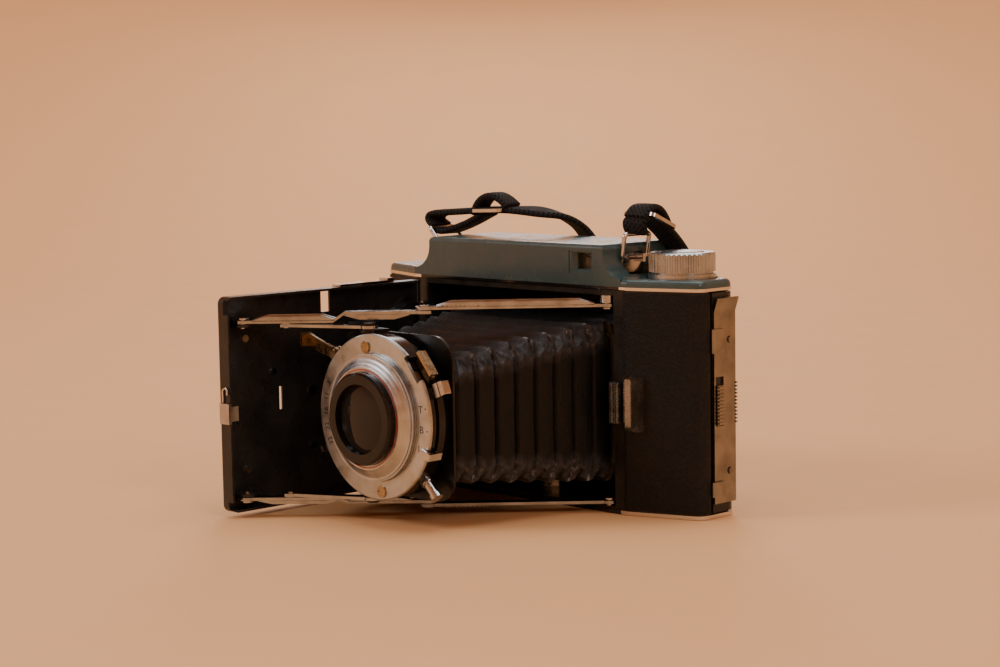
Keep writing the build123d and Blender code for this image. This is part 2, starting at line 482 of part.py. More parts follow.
# ---------------------------------------------------------------- door
DOOR_END = HINGE_Y - DOOR_LENGTH         # y of the door's free end
OUT_X = HINGE_X - DOOR_OUT
RIM_X = HINGE_X + DOOR_RIM
RIM_START = HINGE_Y - 2.6
with BuildPart() as door:
    box(OUT_X, RIM_X, DOOR_END, HINGE_Y, DOOR_LOW, DOOR_HIGH)
    fillet(door.edges().filter_by(Axis.X).group_by(Axis.Y)[0], 2.5)
    fillet(door.faces().sort_by(Axis.X)[0].edges(), 0.6)
    box(OUT_X + SHEET, RIM_X + 1, DOOR_END + SHEET, HINGE_Y + 1, DOOR_LOW + SHEET, DOOR_HIGH - SHEET,
        Mode.SUBTRACT)
    box(OUT_X + SHEET, RIM_X + 1, RIM_START, HINGE_Y + 1, DOOR_LOW - 1, DOOR_HIGH + 1, Mode.SUBTRACT)
    # Notches in the rim's free end, clear of the bay pivots when the door is shut.
    for low, high in ((69.4, 74.3), (2.7, 5.6)):
        box(RIM_X - 2.5, RIM_X + 1, DOOR_END - 1, DOOR_END + SHEET + 0.1, low, high, Mode.SUBTRACT)
    # Slots through the plate.
    box(OUT_X - 1, OUT_X + 2, HINGE_Y - 45.5, HINGE_Y - 41.5, 66.8, 74.0, Mode.SUBTRACT)
    box(OUT_X - 1, OUT_X + 2, HINGE_Y - 65.0, HINGE_Y - 63.6, 34.5, 42.5, Mode.SUBTRACT)
    for low, high in DOOR_KNUCKLES:
        post(HINGE_X, HINGE_Y, low, high, DOOR_KNUCKLE_R)
        box(OUT_X + 0.1, HINGE_X, HINGE_Y - 2.0, HINGE_Y - 0.6, low, high)
        post(HINGE_X, HINGE_Y, low - 1, high + 1, DOOR_PIN_R + 0.05, Mode.SUBTRACT)
    # Ledges for the long struts' pivots.
    for layer, up in SIDES:
        ledge = layer["low"] - up * (STRIP / 2 + 0.3)
        low, high = sorted((ledge, ledge - up * 1.0))
        box(OUT_X + 0.4, DOOR_PIVOT[0], DOOR_PIVOT[1] - 3.4, DOOR_PIVOT[1] + 3.4, low, high)
        post(*DOOR_PIVOT, low, high, 3.4)
        post(*DOOR_PIVOT, low - 1, high + 1, EYE_R, Mode.SUBTRACT)
save(door.part, "door")

with BuildPart() as door_leather:
    box(OUT_X - 0.5, OUT_X, DOOR_END + 2.5, HINGE_Y - 4, DOOR_LOW + 2.5, DOOR_HIGH - 2.5)
    fillet(door_leather.edges().filter_by(Axis.X), 3.0)
    box(OUT_X - 1, OUT_X + 1, HINGE_Y - 47, HINGE_Y - 40, 65.8, DOOR_HIGH, Mode.SUBTRACT)
    box(OUT_X - 1, OUT_X + 1, HINGE_Y - 66, HINGE_Y - 62.6, 33.5, 43.5, Mode.SUBTRACT)
save(door_leather.part, "door_leather")

with BuildPart() as door_strike:
    box(OUT_X + 1.2, RIM_X + 0.6, DOOR_END - 1.1, DOOR_END, 32.5, 39.5)
    box(RIM_X, RIM_X + 0.6, DOOR_END - 1.1, DOOR_END + 3.0, 33.5, 38.5)
    # Wire spring above the strike.
    x_mid = OUT_X + 2.4
    with BuildLine() as wire:
        FilletPolyline((x_mid, DOOR_END - 0.5, 39.7), (x_mid, DOOR_END - 0.5, 44.0),
                       (x_mid + 2.4, DOOR_END - 0.5, 45.2), (x_mid + 2.4, DOOR_END - 0.5, 42.4), radius=0.9)
    with BuildSketch(Plane((x_mid, DOOR_END - 0.5, 39.7), x_dir=(1, 0, 0), z_dir=(0, 0, 1))):
        Circle(0.35)
    sweep(path=wire.wires()[0])
save(door_strike.part, "door_strike")

with BuildPart() as door_rivets:
    x_mid = OUT_X + SHEET
    for y_rivet, z_rivet, radius in ((79.5, 60.5, 1.3), (79.5, 15.5, 1.3), (50.8, 39.8, 1.6),
                                     (50.8, 20.4, 1.1), (67.6, 48.0, 1.1)):
        with Locations(Location((x_mid + 0.35, HINGE_Y - y_rivet, z_rivet), (0, 90, 0))):
            Cylinder(radius, 0.7)
    # The two that the long struts turn on.
    for layer, up in SIDES:
        inside, outside = layer["low"] - up * 2.3, layer["low"] + up * (STRIP / 2 + 0.3)
        post(*DOOR_PIVOT, *sorted((inside, outside)), RIVET_R)
        post(*DOOR_PIVOT, *sorted((outside, outside + up * 0.5)), 2.2)
save(door_rivets.part, "door_rivets")

# Release bar on the door's top edge, with the curved arm it pulls.
with BuildPart() as release_bar:
    box(OUT_X + 0.6, RIM_X - 0.6, HINGE_Y - 40, HINGE_Y - 15, DOOR_HIGH + 0.1, DOOR_HIGH + 0.9)
    box(OUT_X + 0.6, RIM_X - 0.6, HINGE_Y - 18, HINGE_Y - 15, DOOR_HIGH + 0.8, DOOR_HIGH + 1.7)
    with BuildSketch(Plane.YZ.offset(OUT_X + SHEET + 0.1)):
        with BuildLine():
            Spline((HINGE_Y - 6, 69.5), (HINGE_Y - 14, 65.5), (HINGE_Y - 34, 62.5))
            Line((HINGE_Y - 34, 62.5), (HINGE_Y - 34, 60.5))
            Spline((HINGE_Y - 34, 60.5), (HINGE_Y - 13, 63.0), (HINGE_Y - 3.6, 68.0))
            Line((HINGE_Y - 3.6, 68.0), (HINGE_Y - 6, 69.5))
        make_face()
    extrude(amount=0.9)
save(release_bar.part, "release_bar")

# ---------------------------------------------------------------- struts
def strut(start, end, heights, width, eye, holes):
    """A level strip with a round eye at each end, stepped in height along its length.

    heights lists (distance along, middle height) pairs, and holes lists (plan point, radius) pairs.
    """
    run_x, run_y = end[0] - start[0], end[1] - start[1]
    plane = Plane((start[0], start[1], 0), x_dir=(run_x, run_y, 0), z_dir=(run_y, -run_x, 0))
    over = [(along, height + STRIP / 2) for along, height in heights]
    under = [(along, height - STRIP / 2) for along, height in reversed(heights)]
    with BuildPart() as strip:
        with BuildSketch(plane):
            with BuildLine():
                Polyline(*over, *under, close=True)
            make_face()
        extrude(amount=width / 2, both=True)
        for (x, y), height in ((start, heights[0][1]), (end, heights[-1][1])):
            post(x, y, height - STRIP / 2, height + STRIP / 2, eye)
        for (x, y), radius in holes:
            post(x, y, 0, DECK, radius, Mode.SUBTRACT)
    return strip.part


def along(start, end, distance):
    """The plan point a given distance from start towards end."""
    length = hypot(end[0] - start[0], end[1] - start[1])
    share = distance / length
    return (start[0] + share * (end[0] - start[0]), start[1] + share * (end[1] - start[1]))


LONG = hypot(ELBOW[0] - DOOR_PIVOT[0], ELBOW[1] - DOOR_PIVOT[1])
SHORT = hypot(ELBOW[0] - BAY_PIVOT[0], ELBOW[1] - BAY_PIVOT[1])
ARM_JOINT = along(DOOR_PIVOT, ELBOW, 15.0)


def long_strut(layer):
    """One long strut: low where it pivots on the door, high at the elbow."""
    heights = ((0, layer["low"]), (31.0, layer["low"]), (35.0, layer["high"]), (LONG, layer["high"]))
    return strut(DOOR_PIVOT, ELBOW, heights, 5.2, 3.3,
                 ((DOOR_PIVOT, EYE_R), (ELBOW, EYE_R), (ARM_JOINT, RIVET_R)))


with BuildPart() as long_struts:
    add(long_strut(TOP))
    add(long_strut(BOTTOM))
save(long_struts.part, "long_struts")

SHORT_TURN = degrees(atan2(ELBOW[1] - BAY_PIVOT[1], ELBOW[0] - BAY_PIVOT[0]))
with BuildPart() as short_struts:
    for layer, up in SIDES:
        heights = ((0, layer["short"]), (SHORT, layer["short"]))
        add(strut(BAY_PIVOT, ELBOW, heights, 4.6, 3.2, ((BAY_PIVOT, EYE_R), (ELBOW, RIVET_R))))
        # Finger ribs beside the elbow.
        for step in range(9):
            x_rib, y_rib = along(ELBOW, BAY_PIVOT, 6.0 + 1.5 * step)
            with Locations(Location((x_rib, y_rib, layer["short"] + up * 0.55), (0, 0, SHORT_TURN))):
                Box(0.7, 4.6, 0.6)
        # Rivet at the elbow, headed on the far side of the strip.
        outside = layer["short"] + up * 0.9
        post(*ELBOW, *sorted((layer["short"] - up * STRIP / 2, outside)), RIVET_R)
        post(*ELBOW, *sorted((outside, layer["short"] + up * STRIP / 2)), 2.0)
save(short_struts.part, "short_struts")

ARM = hypot(STANDARD_PIVOT[0] - ARM_JOINT[0], STANDARD_PIVOT[1] - ARM_JOINT[1])
with BuildPart() as standard_arms:
    for layer, up in SIDES:
        add(strut(ARM_JOINT, STANDARD_PIVOT, ((0, layer["arm"]), (ARM, layer["arm"])), 4.0, 3.0,
                  ((ARM_JOINT, RIVET_R), (STANDARD_PIVOT, EYE_R))))
save(standard_arms.part, "standard_arms")

with BuildPart() as strut_rivets:
    for layer, up in SIDES:
        inside, outside = layer["arm"] - up * 0.9, layer["low"] + up * 0.9
        post(*ARM_JOINT, *sorted((inside, outside)), RIVET_R)
        post(*ARM_JOINT, *sorted((outside, layer["low"] + up * STRIP / 2)), 2.0)
        # Washer that fills the gap between the two strips.
        post(*ARM_JOINT, *sorted((layer["arm"] + up * STRIP / 2, layer["low"] - up * STRIP / 2)), 2.0)
save(strut_rivets.part, "strut_rivets")

# ---------------------------------------------------------------- lens standard and shutter
with BuildPart() as lens_standard:
    box(-27.6, 27.6, PLATE_Y, PLATE_Y + 1.0, AXIS_Z - 27.4, AXIS_Z + 27.4)
    fillet(lens_standard.edges().filter_by(Axis.Y), 9.0)
    for layer, up in SIDES:
        low, high = layer["lug"] - STRIP / 2, layer["lug"] + STRIP / 2
        x_mid, y_mid = STANDARD_PIVOT
        box(x_mid - 3.4, x_mid + 3.4, y_mid, PLATE_Y + 1.0, low, high)
        post(x_mid, y_mid, low, high, 3.4)
        box(x_mid - 3.4, x_mid + 3.4, PLATE_Y, PLATE_Y + 1.0,
            *sorted((layer["lug"] - up * 8, layer["lug"] + up * STRIP / 2)))
        post(x_mid, y_mid, low - 1, high + 1, RIVET_R, Mode.SUBTRACT)
    barrel(PLATE_Y - 1, PLATE_Y + 2, 13.0, mode=Mode.SUBTRACT)
    # Rivets, headed beyond the arms that turn on them.
    for layer, up in SIDES:
        inside, outside = layer["lug"] - up * STRIP / 2, layer["arm"] + up * (STRIP / 2 + 0.3)
        post(*STANDARD_PIVOT, *sorted((inside, outside)), RIVET_R)
        post(*STANDARD_PIVOT, *sorted((outside, outside + up * 0.5)), 2.0)
save(lens_standard.part, "lens_standard")


def spoke(angle, inner, outer, width, y_front, y_back, mode=Mode.ADD):
    """A block that lies along a radius of the lens, at an angle above +X."""
    middle = (inner + outer) / 2
    place = Location((middle * cos(radians(angle)), (y_front + y_back) / 2,
                      AXIS_Z + middle * sin(radians(angle))), (0, -angle, 0))
    with Locations(place):
        Box(outer - inner, y_back - y_front, width, mode=mode)


def rim_slot(angle_from, angle_to, y_front, y_back):
    """Cuts a slot through the case's rim between two angles above +X."""
    reach = 2 * CASE_R
    stops = [angle_from + share * (angle_to - angle_from) / 3 for share in range(4)]
    with BuildSketch(Plane.XZ.offset(-y_back)) as sector:
        with BuildLine():
            Polyline((0, AXIS_Z), *[(reach * cos(radians(stop)), AXIS_Z + reach * sin(radians(stop)))
                                    for stop in stops], close=True)
        make_face()
    extrude(sector.sketch, amount=y_back - y_front, mode=Mode.SUBTRACT)


APERTURE_REST, APERTURE_SWING = -154.0, 50.0
SPEED_REST, SPEED_SWING = -20.5, 33.0
FACE_INNER = 21.4
BLADE_Y = PLATE_Y - 4.2
BLADE_PIN_X, BLADE_PIN_DROP = 4.0, 15.2  # the blades' pins, beside and below the lens axis
with BuildPart() as shutter_case:
    barrel(PLATE_Y - 3.0, PLATE_Y, 25.4)
    barrel(LENS_SEAT, PLATE_Y - 3.0, CASE_R)
    barrel(LENS_SEAT - 1, PLATE_Y - 2.0, 24.6, mode=Mode.SUBTRACT)
    barrel(PLATE_Y - 3, PLATE_Y + 1, 13.0, mode=Mode.SUBTRACT)
    # Flat on the upper right of the rim, where the release works.
    with Locations(Location((22.5, LENS_SEAT + 2.0, AXIS_Z + 17.5), (0, 52, 0))):
        Box(12, 4.2, 8.0, mode=Mode.SUBTRACT)
    for side in (-1, 1):
        barrel(BLADE_Y - 1.6, PLATE_Y - 2.0, 0.8, side * BLADE_PIN_X, AXIS_Z - BLADE_PIN_DROP)
    rim_slot(APERTURE_REST + 5, APERTURE_REST - APERTURE_SWING - 5, LENS_SEAT + 0.7, LENS_SEAT + 2.1)
    rim_slot(SPEED_REST - 5, SPEED_REST + SPEED_SWING + 5, LENS_SEAT + 1.9, LENS_SEAT + 3.3)
save(shutter_case.part, "shutter_case")

with BuildPart() as face_ring:
    barrel(LENS_SEAT - 1.2, LENS_SEAT, 27.6)
    chamfer(face_ring.faces().sort_by(Axis.Y)[0].edges(), 0.4)
    barrel(LENS_SEAT - 2, LENS_SEAT + 1, FACE_INNER, mode=Mode.SUBTRACT)
    with Locations(Location((21.5, LENS_SEAT, AXIS_Z + 19.0), (0, 52, 0))):
        Box(10, 6, 7.0, mode=Mode.SUBTRACT)
save(face_ring.part, "face_ring")

RING_Y = LENS_SEAT - 1.2
with BuildPart() as name_ring:
    barrel(RING_Y - 1.6, RING_Y + 1.0, FACE_INNER - 0.1)
    with Locations(Location((0, RING_Y - 1.6 - 1.3, AXIS_Z), (90, 0, 0))):
        Cone(20.4, 17.0, 2.6)
    barrel(RING_Y - 1.0, RING_Y - 0.7, FACE_INNER + 1, mode=Mode.SUBTRACT)
    barrel(RING_Y - 2, RING_Y, 20.6)
    barrel(RING_Y - 6, RING_Y + 2, 15.5, mode=Mode.SUBTRACT)
save(name_ring.part, "name_ring")

FRONT_Y = RING_Y - 4.2                   # front of the name ring's cone
with BuildPart() as lens_bezel:
    barrel(FRONT_Y - 2.6, RING_Y + 1.0, 15.4)
    chamfer(lens_bezel.faces().sort_by(Axis.Y)[0].edges(), 0.7)
    barrel(FRONT_Y - 4, RING_Y + 2, 11.6, mode=Mode.SUBTRACT)
    barrel(RING_Y - 1.4, RING_Y + 2, 13.0, mode=Mode.SUBTRACT)
save(lens_bezel.part, "lens_bezel")

with BuildPart() as front_glass:
    barrel(FRONT_Y - 1.8, FRONT_Y + 1.6, 11.5)
    with BuildPart(mode=Mode.PRIVATE) as front_curve:
        with Locations((0, FRONT_Y - 1.8 + 45.0, AXIS_Z)):
            Sphere(45.0)
    add(front_curve.part, mode=Mode.INTERSECT)
save(front_glass.part, "front_glass")

with BuildPart() as rear_cell:
    barrel(PLATE_Y - 1.8, PLATE_Y + 3.0, 12.8)
    barrel(PLATE_Y - 3, PLATE_Y + 4, 8.6, mode=Mode.SUBTRACT)
save(rear_cell.part, "rear_cell")

with BuildPart() as rear_glass:
    barrel(PLATE_Y, PLATE_Y + 2.2, 8.5)
save(rear_glass.part, "rear_glass")

with BuildPart() as face_screws:
    for x_screw, z_screw in ((-3.2, 23.2), (3.4, -24.4)):
        barrel(RING_Y - 0.5, RING_Y, 2.0, x_screw, AXIS_Z + z_screw)
        box(x_screw - 1.6, x_screw + 1.6, RING_Y - 0.6, RING_Y - 0.25,
            AXIS_Z + z_screw - 0.25, AXIS_Z + z_screw + 0.25, Mode.SUBTRACT)
save(face_screws.part, "face_screws")

# Shutter blades, pivoted inside the case and closed over the lens.
for side, name in ((-1, "shutter_blade_left"), (1, "shutter_blade_right")):
    with BuildPart() as blade:
        y_front = BLADE_Y - 0.7 * (side + 1) / 2
        barrel(y_front, y_front + 0.3, 14.0)
        x_low, x_high = sorted((side * 0.8, -side * 20))
        box(x_low, x_high, y_front - 1, y_front + 1, AXIS_Z - 20, AXIS_Z + 20, Mode.SUBTRACT)
        barrel(y_front, y_front + 0.3, 2.4, side * BLADE_PIN_X, AXIS_Z - BLADE_PIN_DROP)
        box(*sorted((side * 1.6, side * 6.4)), y_front, y_front + 0.3, AXIS_Z - BLADE_PIN_DROP, AXIS_Z - 10)
        barrel(y_front - 1, y_front + 1, 0.85, side * BLADE_PIN_X, AXIS_Z - BLADE_PIN_DROP, Mode.SUBTRACT)
    save(blade.part, name)

with BuildPart() as aperture_ring:
    barrel(LENS_SEAT + 1.0, LENS_SEAT + 1.8, 24.3)
    barrel(LENS_SEAT, LENS_SEAT + 3, 4.2, mode=Mode.SUBTRACT)
    for turn in (25, 50):
        barrel(LENS_SEAT, LENS_SEAT + 3, 1.6 + turn / 50, 9.0 * sin(radians(turn)),
               AXIS_Z + 9.0 * cos(radians(turn)), Mode.SUBTRACT)
    # Pointer, out through the rim and forward over the face ring.
    spoke(APERTURE_REST, 24.0, 31.0, 2.2, LENS_SEAT + 1.0, LENS_SEAT + 1.8)
    spoke(APERTURE_REST, 29.6, 31.0, 2.2, LENS_SEAT - 1.0, LENS_SEAT + 1.8)
save(aperture_ring.part, "aperture_ring")

# Moving controls of the shutter.
with BuildPart() as speed_lever:
    barrel(LENS_SEAT + 2.2, LENS_SEAT + 3.0, 24.2)
    barrel(LENS_SEAT, LENS_SEAT + 4, 20.0, mode=Mode.SUBTRACT)
    spoke(SPEED_REST, 23.0, 30.2, 2.4, LENS_SEAT + 2.2, LENS_SEAT + 3.0)
    spoke(SPEED_REST, 28.6, 30.2, 2.4, LENS_SEAT - 2.6, LENS_SEAT + 3.0)
    spoke(SPEED_REST, 25.6, 30.2, 2.4, LENS_SEAT - 2.6, LENS_SEAT - 1.8)
save(speed_lever.part, "speed_lever")

RELEASE_X, RELEASE_Z = -22.8, AXIS_Z + 19.4
RELEASE_TIP = (-36.4, AXIS_Z + 23.4)
with BuildPart() as shutter_lever:
    y_front, y_back = LENS_SEAT + 1.4, LENS_SEAT + 2.6
    barrel(y_front, y_back, 2.2, RELEASE_X, RELEASE_Z)
    with BuildSketch(Plane.XZ.offset(-y_back)):
        with BuildLine():
            Polyline((RELEASE_X, RELEASE_Z - 1.6), (RELEASE_X - 6, RELEASE_Z - 0.6),
                     (RELEASE_TIP[0], RELEASE_TIP[1] - 2.2), (RELEASE_TIP[0] - 0.6, RELEASE_TIP[1] + 2.4),
                     (RELEASE_X - 6, RELEASE_Z + 3.6), (RELEASE_X, RELEASE_Z + 1.9), close=True)
        make_face()
    extrude(amount=y_back - y_front)
    box(RELEASE_TIP[0] - 0.6, RELEASE_TIP[0] + 0.6, y_front - 3.0, y_back,
        RELEASE_TIP[1] - 2.2, RELEASE_TIP[1] + 2.4)
    barrel(y_front - 1, y_back + 1, 0.95, RELEASE_X, RELEASE_Z, Mode.SUBTRACT)
save(shutter_lever.part, "shutter_lever")

with BuildPart() as release_bracket:
    barrel(LENS_SEAT + 2.9, LENS_SEAT + 4.0, 2.4, RELEASE_X, RELEASE_Z)
    spoke(139.6, 27.25, 30.0, 4.8, LENS_SEAT + 2.9, LENS_SEAT + 4.0)
    barrel(LENS_SEAT, LENS_SEAT + 5, CASE_R + 0.02, mode=Mode.SUBTRACT)
    barrel(LENS_SEAT + 0.9, LENS_SEAT + 3.5, 0.9, RELEASE_X, RELEASE_Z)
    barrel(LENS_SEAT + 0.5, LENS_SEAT + 1.1, 1.6, RELEASE_X, RELEASE_Z)
    # Cover plate over the shutter's cocking gear, on the rim's flat.
    spoke(40.0, 24.9, 30.6, 9.4, LENS_SEAT + 3.2, LENS_SEAT + 4.0)
    spoke(40.0, 29.6, 30.6, 9.4, LENS_SEAT + 0.6, LENS_SEAT + 4.0)
save(release_bracket.part, "release_bracket")

with BuildPart() as sync_block:
    spoke(21.5, CASE_R - 0.6, 33.5, 4.6, LENS_SEAT + 1.4, LENS_SEAT + 4.4)
    fillet(sync_block.edges().filter_by(Axis.Y), 0.5)
    spoke(21.5, 31.0, 31.6, 6, LENS_SEAT + 1.0, LENS_SEAT + 2.0, Mode.SUBTRACT)
    barrel(LENS_SEAT, LENS_SEAT + 6, CASE_R + 0.02, mode=Mode.SUBTRACT)
save(sync_block.part, "sync_block")

POST_ANGLE = -45.5
POST_Y = LENS_SEAT + 4.2
with BuildPart() as flash_post:
    for inner, outer, radius in ((27.25, 29.0, 2.3), (28.9, 33.4, 1.6), (33.3, 35.0, 2.0)):
        middle = (inner + outer) / 2
        with Locations(Location((middle * cos(radians(POST_ANGLE)), POST_Y,
                                 AXIS_Z + middle * sin(radians(POST_ANGLE))), (0, 90 - POST_ANGLE, 0))):
            Cylinder(radius, outer - inner)
    barrel(LENS_SEAT, PLATE_Y, CASE_R + 0.02, mode=Mode.SUBTRACT)
save(flash_post.part, "flash_post")

# ---------------------------------------------------------------- bellows
BELLOWS_ENDS = ((PLATE_Y + 1.0, 28.0, 20.5, AXIS_Z),
                (FILM - 3.0, GATE_WIDTH / 2, GATE_HEIGHT / 2 + 1.8, GATE_Z))
LEATHER_WALL = 1.2
with BuildPart() as bellows:
    for inset, mode in ((0.0, Mode.ADD), (LEATHER_WALL, Mode.SUBTRACT)):
        for y_end, half_width, half_height, z_mid in BELLOWS_ENDS:
            with BuildSketch(Plane.XZ.offset(-y_end)):
                with Locations((0, z_mid)):
                    Rectangle(2 * (half_width - inset), 2 * (half_height - inset))
        loft(mode=mode)
save(bellows.part, "bellows")

# ---------------------------------------------------------------- carrying strap
STRAP_R = 1.6
strap_route = [
    (-54.0, -3.5, 94.1), (-57.4, -3.4, 95.4), (-56.8, -2.8, 98.6), (-48, -1.0, 99.0), (-37, 1.5, 99.8),
    (-25, 4.0, 100.2), (-14.5, 8.5, 99.5), (-8, 15.5, 97.6), (-4, 22.5, 91.5), (-1.5, 25.5, 79),
    (1, 26.0, 61), (2, 26.8, 42), (1, 28.5, 23), (-4, 33, 8.5), (-14, 38.5, 2.4), (-29, 42, 2.2),
    (-45, 47, 2.2), (-57, 58, 2.2), (-56, 72, 2.2), (-42, 79.5, 2.2), (-22, 78, 2.2),
    (-3, 70, 2.2), (12, 57.5, 2.4), (23, 44, 6), (30, 34.5, 17), (35, 29.5, 33),
    (39, 27.0, 50), (42, 25.8, 67), (44, 22.8, 80), (44.8, 14.5, 89.5), (45, 6.0, 96.5),
    (44.8, -2.0, 100.0), (44.3, -6.4, 97.8), (43.9, -3.6, 94.4),
]
points = [Vector(*point) for point in strap_route]
runs = [(b - a).length for a, b in zip(points, points[1:])]
radii = []
for index in range(1, len(points) - 1):
    turn = (points[index] - points[index - 1]).get_angle(points[index + 1] - points[index])
    radii.append(0.45 * min(runs[index - 1], runs[index]) / (sin(radians(turn / 2)) / cos(radians(turn / 2))))
with BuildPart() as carrying_strap:
    with BuildLine() as route:
        FilletPolyline(*points, radius=radii)
    first = points[1] - points[0]
    with BuildSketch(Plane(points[0], z_dir=first)):
        Circle(STRAP_R)
    sweep(path=route.wires()[0])
save(carrying_strap.part, "carrying_strap")
strap_length = route.wires()[0].length
print("strap length", round(strap_length, 1), "volume over section",
      round(carrying_strap.part.volume / (3.14159 * STRAP_R ** 2), 1))


def slide_buckle(origin, run, across):
    """A three-bar buckle: a flat frame with two slots, lying along run and across."""
    plane = Plane(origin, x_dir=run, z_dir=Vector(*run).cross(Vector(*across)))
    with BuildPart() as buckle:
        with BuildSketch(plane):
            frame = Rectangle(13.0, 14.4)
            fillet(frame.vertices(), 1.6)
            with Locations((-3.0, 0), (3.0, 0)):
                Rectangle(3.6, 11.0, mode=Mode.SUBTRACT)
        extrude(amount=0.6, both=True)
    return buckle.part


with BuildPart() as strap_buckles:
    add(slide_buckle((-31.0, 2.7, 100.0), (1, 0.2, 0.03), (-0.2, 1, 0)))
    add(slide_buckle((44.9, 2.0, 98.25), (0, 0.916, -0.40), (1, 0, 0)))
save(strap_buckles.part, "strap_buckles")
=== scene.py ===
"""Looks of a folding roll-film camera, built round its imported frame. Lengths are in metres."""

import math

import bpy
from mathutils import Matrix, Vector


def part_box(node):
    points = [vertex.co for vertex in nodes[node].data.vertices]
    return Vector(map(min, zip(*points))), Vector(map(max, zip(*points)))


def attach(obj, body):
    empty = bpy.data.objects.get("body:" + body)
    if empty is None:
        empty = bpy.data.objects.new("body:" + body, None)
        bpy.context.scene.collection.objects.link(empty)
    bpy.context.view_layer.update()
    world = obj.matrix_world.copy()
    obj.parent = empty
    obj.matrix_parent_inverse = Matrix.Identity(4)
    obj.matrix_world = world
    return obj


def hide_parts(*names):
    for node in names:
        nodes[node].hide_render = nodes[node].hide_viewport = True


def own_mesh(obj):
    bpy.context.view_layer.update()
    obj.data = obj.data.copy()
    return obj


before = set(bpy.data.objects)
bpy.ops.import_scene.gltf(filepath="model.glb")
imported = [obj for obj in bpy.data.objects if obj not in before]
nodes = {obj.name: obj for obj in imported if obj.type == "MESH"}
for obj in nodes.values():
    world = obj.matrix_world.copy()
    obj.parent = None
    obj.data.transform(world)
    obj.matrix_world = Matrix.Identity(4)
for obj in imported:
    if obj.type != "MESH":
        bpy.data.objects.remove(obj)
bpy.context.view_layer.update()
MM = 0.001

# ---------------------------------------------------------------- the view
AZIMUTH, ELEVATION, ROLL = math.radians(45.84), math.radians(6.07), math.radians(-0.94)
VIEW_DISTANCE = 0.7092
VIEW_TARGET = Vector((0.03308, -0.05853, 0.06391))
FOCAL_LENGTH = 78.2


def place_camera():
    """Sets the camera that looks at the opened front from the right."""
    back = Vector((math.sin(AZIMUTH) * math.cos(ELEVATION), -math.cos(AZIMUTH) * math.cos(ELEVATION),
                   math.sin(ELEVATION)))
    level = Vector((math.cos(AZIMUTH), math.sin(AZIMUTH), 0))
    upright = back.cross(level)
    right = level * math.cos(ROLL) + upright * math.sin(ROLL)
    up = upright * math.cos(ROLL) - level * math.sin(ROLL)
    data = bpy.data.cameras.new("view")
    data.sensor_width = 36
    data.lens = FOCAL_LENGTH
    data.clip_start = 0.01
    camera = bpy.data.objects.new("view", data)
    axes = Matrix((right, up, back)).transposed()
    camera.matrix_world = Matrix.Translation(VIEW_TARGET + back * VIEW_DISTANCE) @ axes.to_4x4()
    bpy.context.collection.objects.link(camera)
    bpy.context.scene.camera = camera


def area_light(name, place, target, size, power, colour):
    """A soft square light aimed at a point."""
    data = bpy.data.lights.new(name, "AREA")
    data.size = size
    data.energy = power
    data.color = colour
    light = bpy.data.objects.new(name, data)
    light.location = place
    light.rotation_euler = (Vector(target) - Vector(place)).to_track_quat("-Z", "Y").to_euler()
    bpy.context.collection.objects.link(light)


def light_room():
    """Warm, soft studio light, strongest from above."""
    world = bpy.data.worlds.new("studio")
    world.use_nodes = True
    background = world.node_tree.nodes["Background"]
    background.inputs["Color"].default_value = (0.84, 0.80, 0.76, 1)
    background.inputs["Strength"].default_value = 0.32
    bpy.context.scene.world = world
    middle = (0, -0.03, 0.05)
    area_light("overhead", (0.0, 0.3, 1.9), middle, 1.8, 30.0, (1.0, 0.96, 0.91))
    area_light("front_left", (-0.75, -1.15, 0.85), middle, 0.5, 9.0, (0.96, 0.98, 1.0))
    area_light("behind", (-1.05, 1.03, 0.66), middle, 0.5, 4.5, (0.96, 0.98, 1.0))
    area_light("right", (1.25, -0.35, 0.75), middle, 0.4, 4.0, (0.96, 0.98, 1.0))


# ---------------------------------------------------------------- materials
RAMP_ELEMENTS = 2                       # a new colour ramp has this many elements already


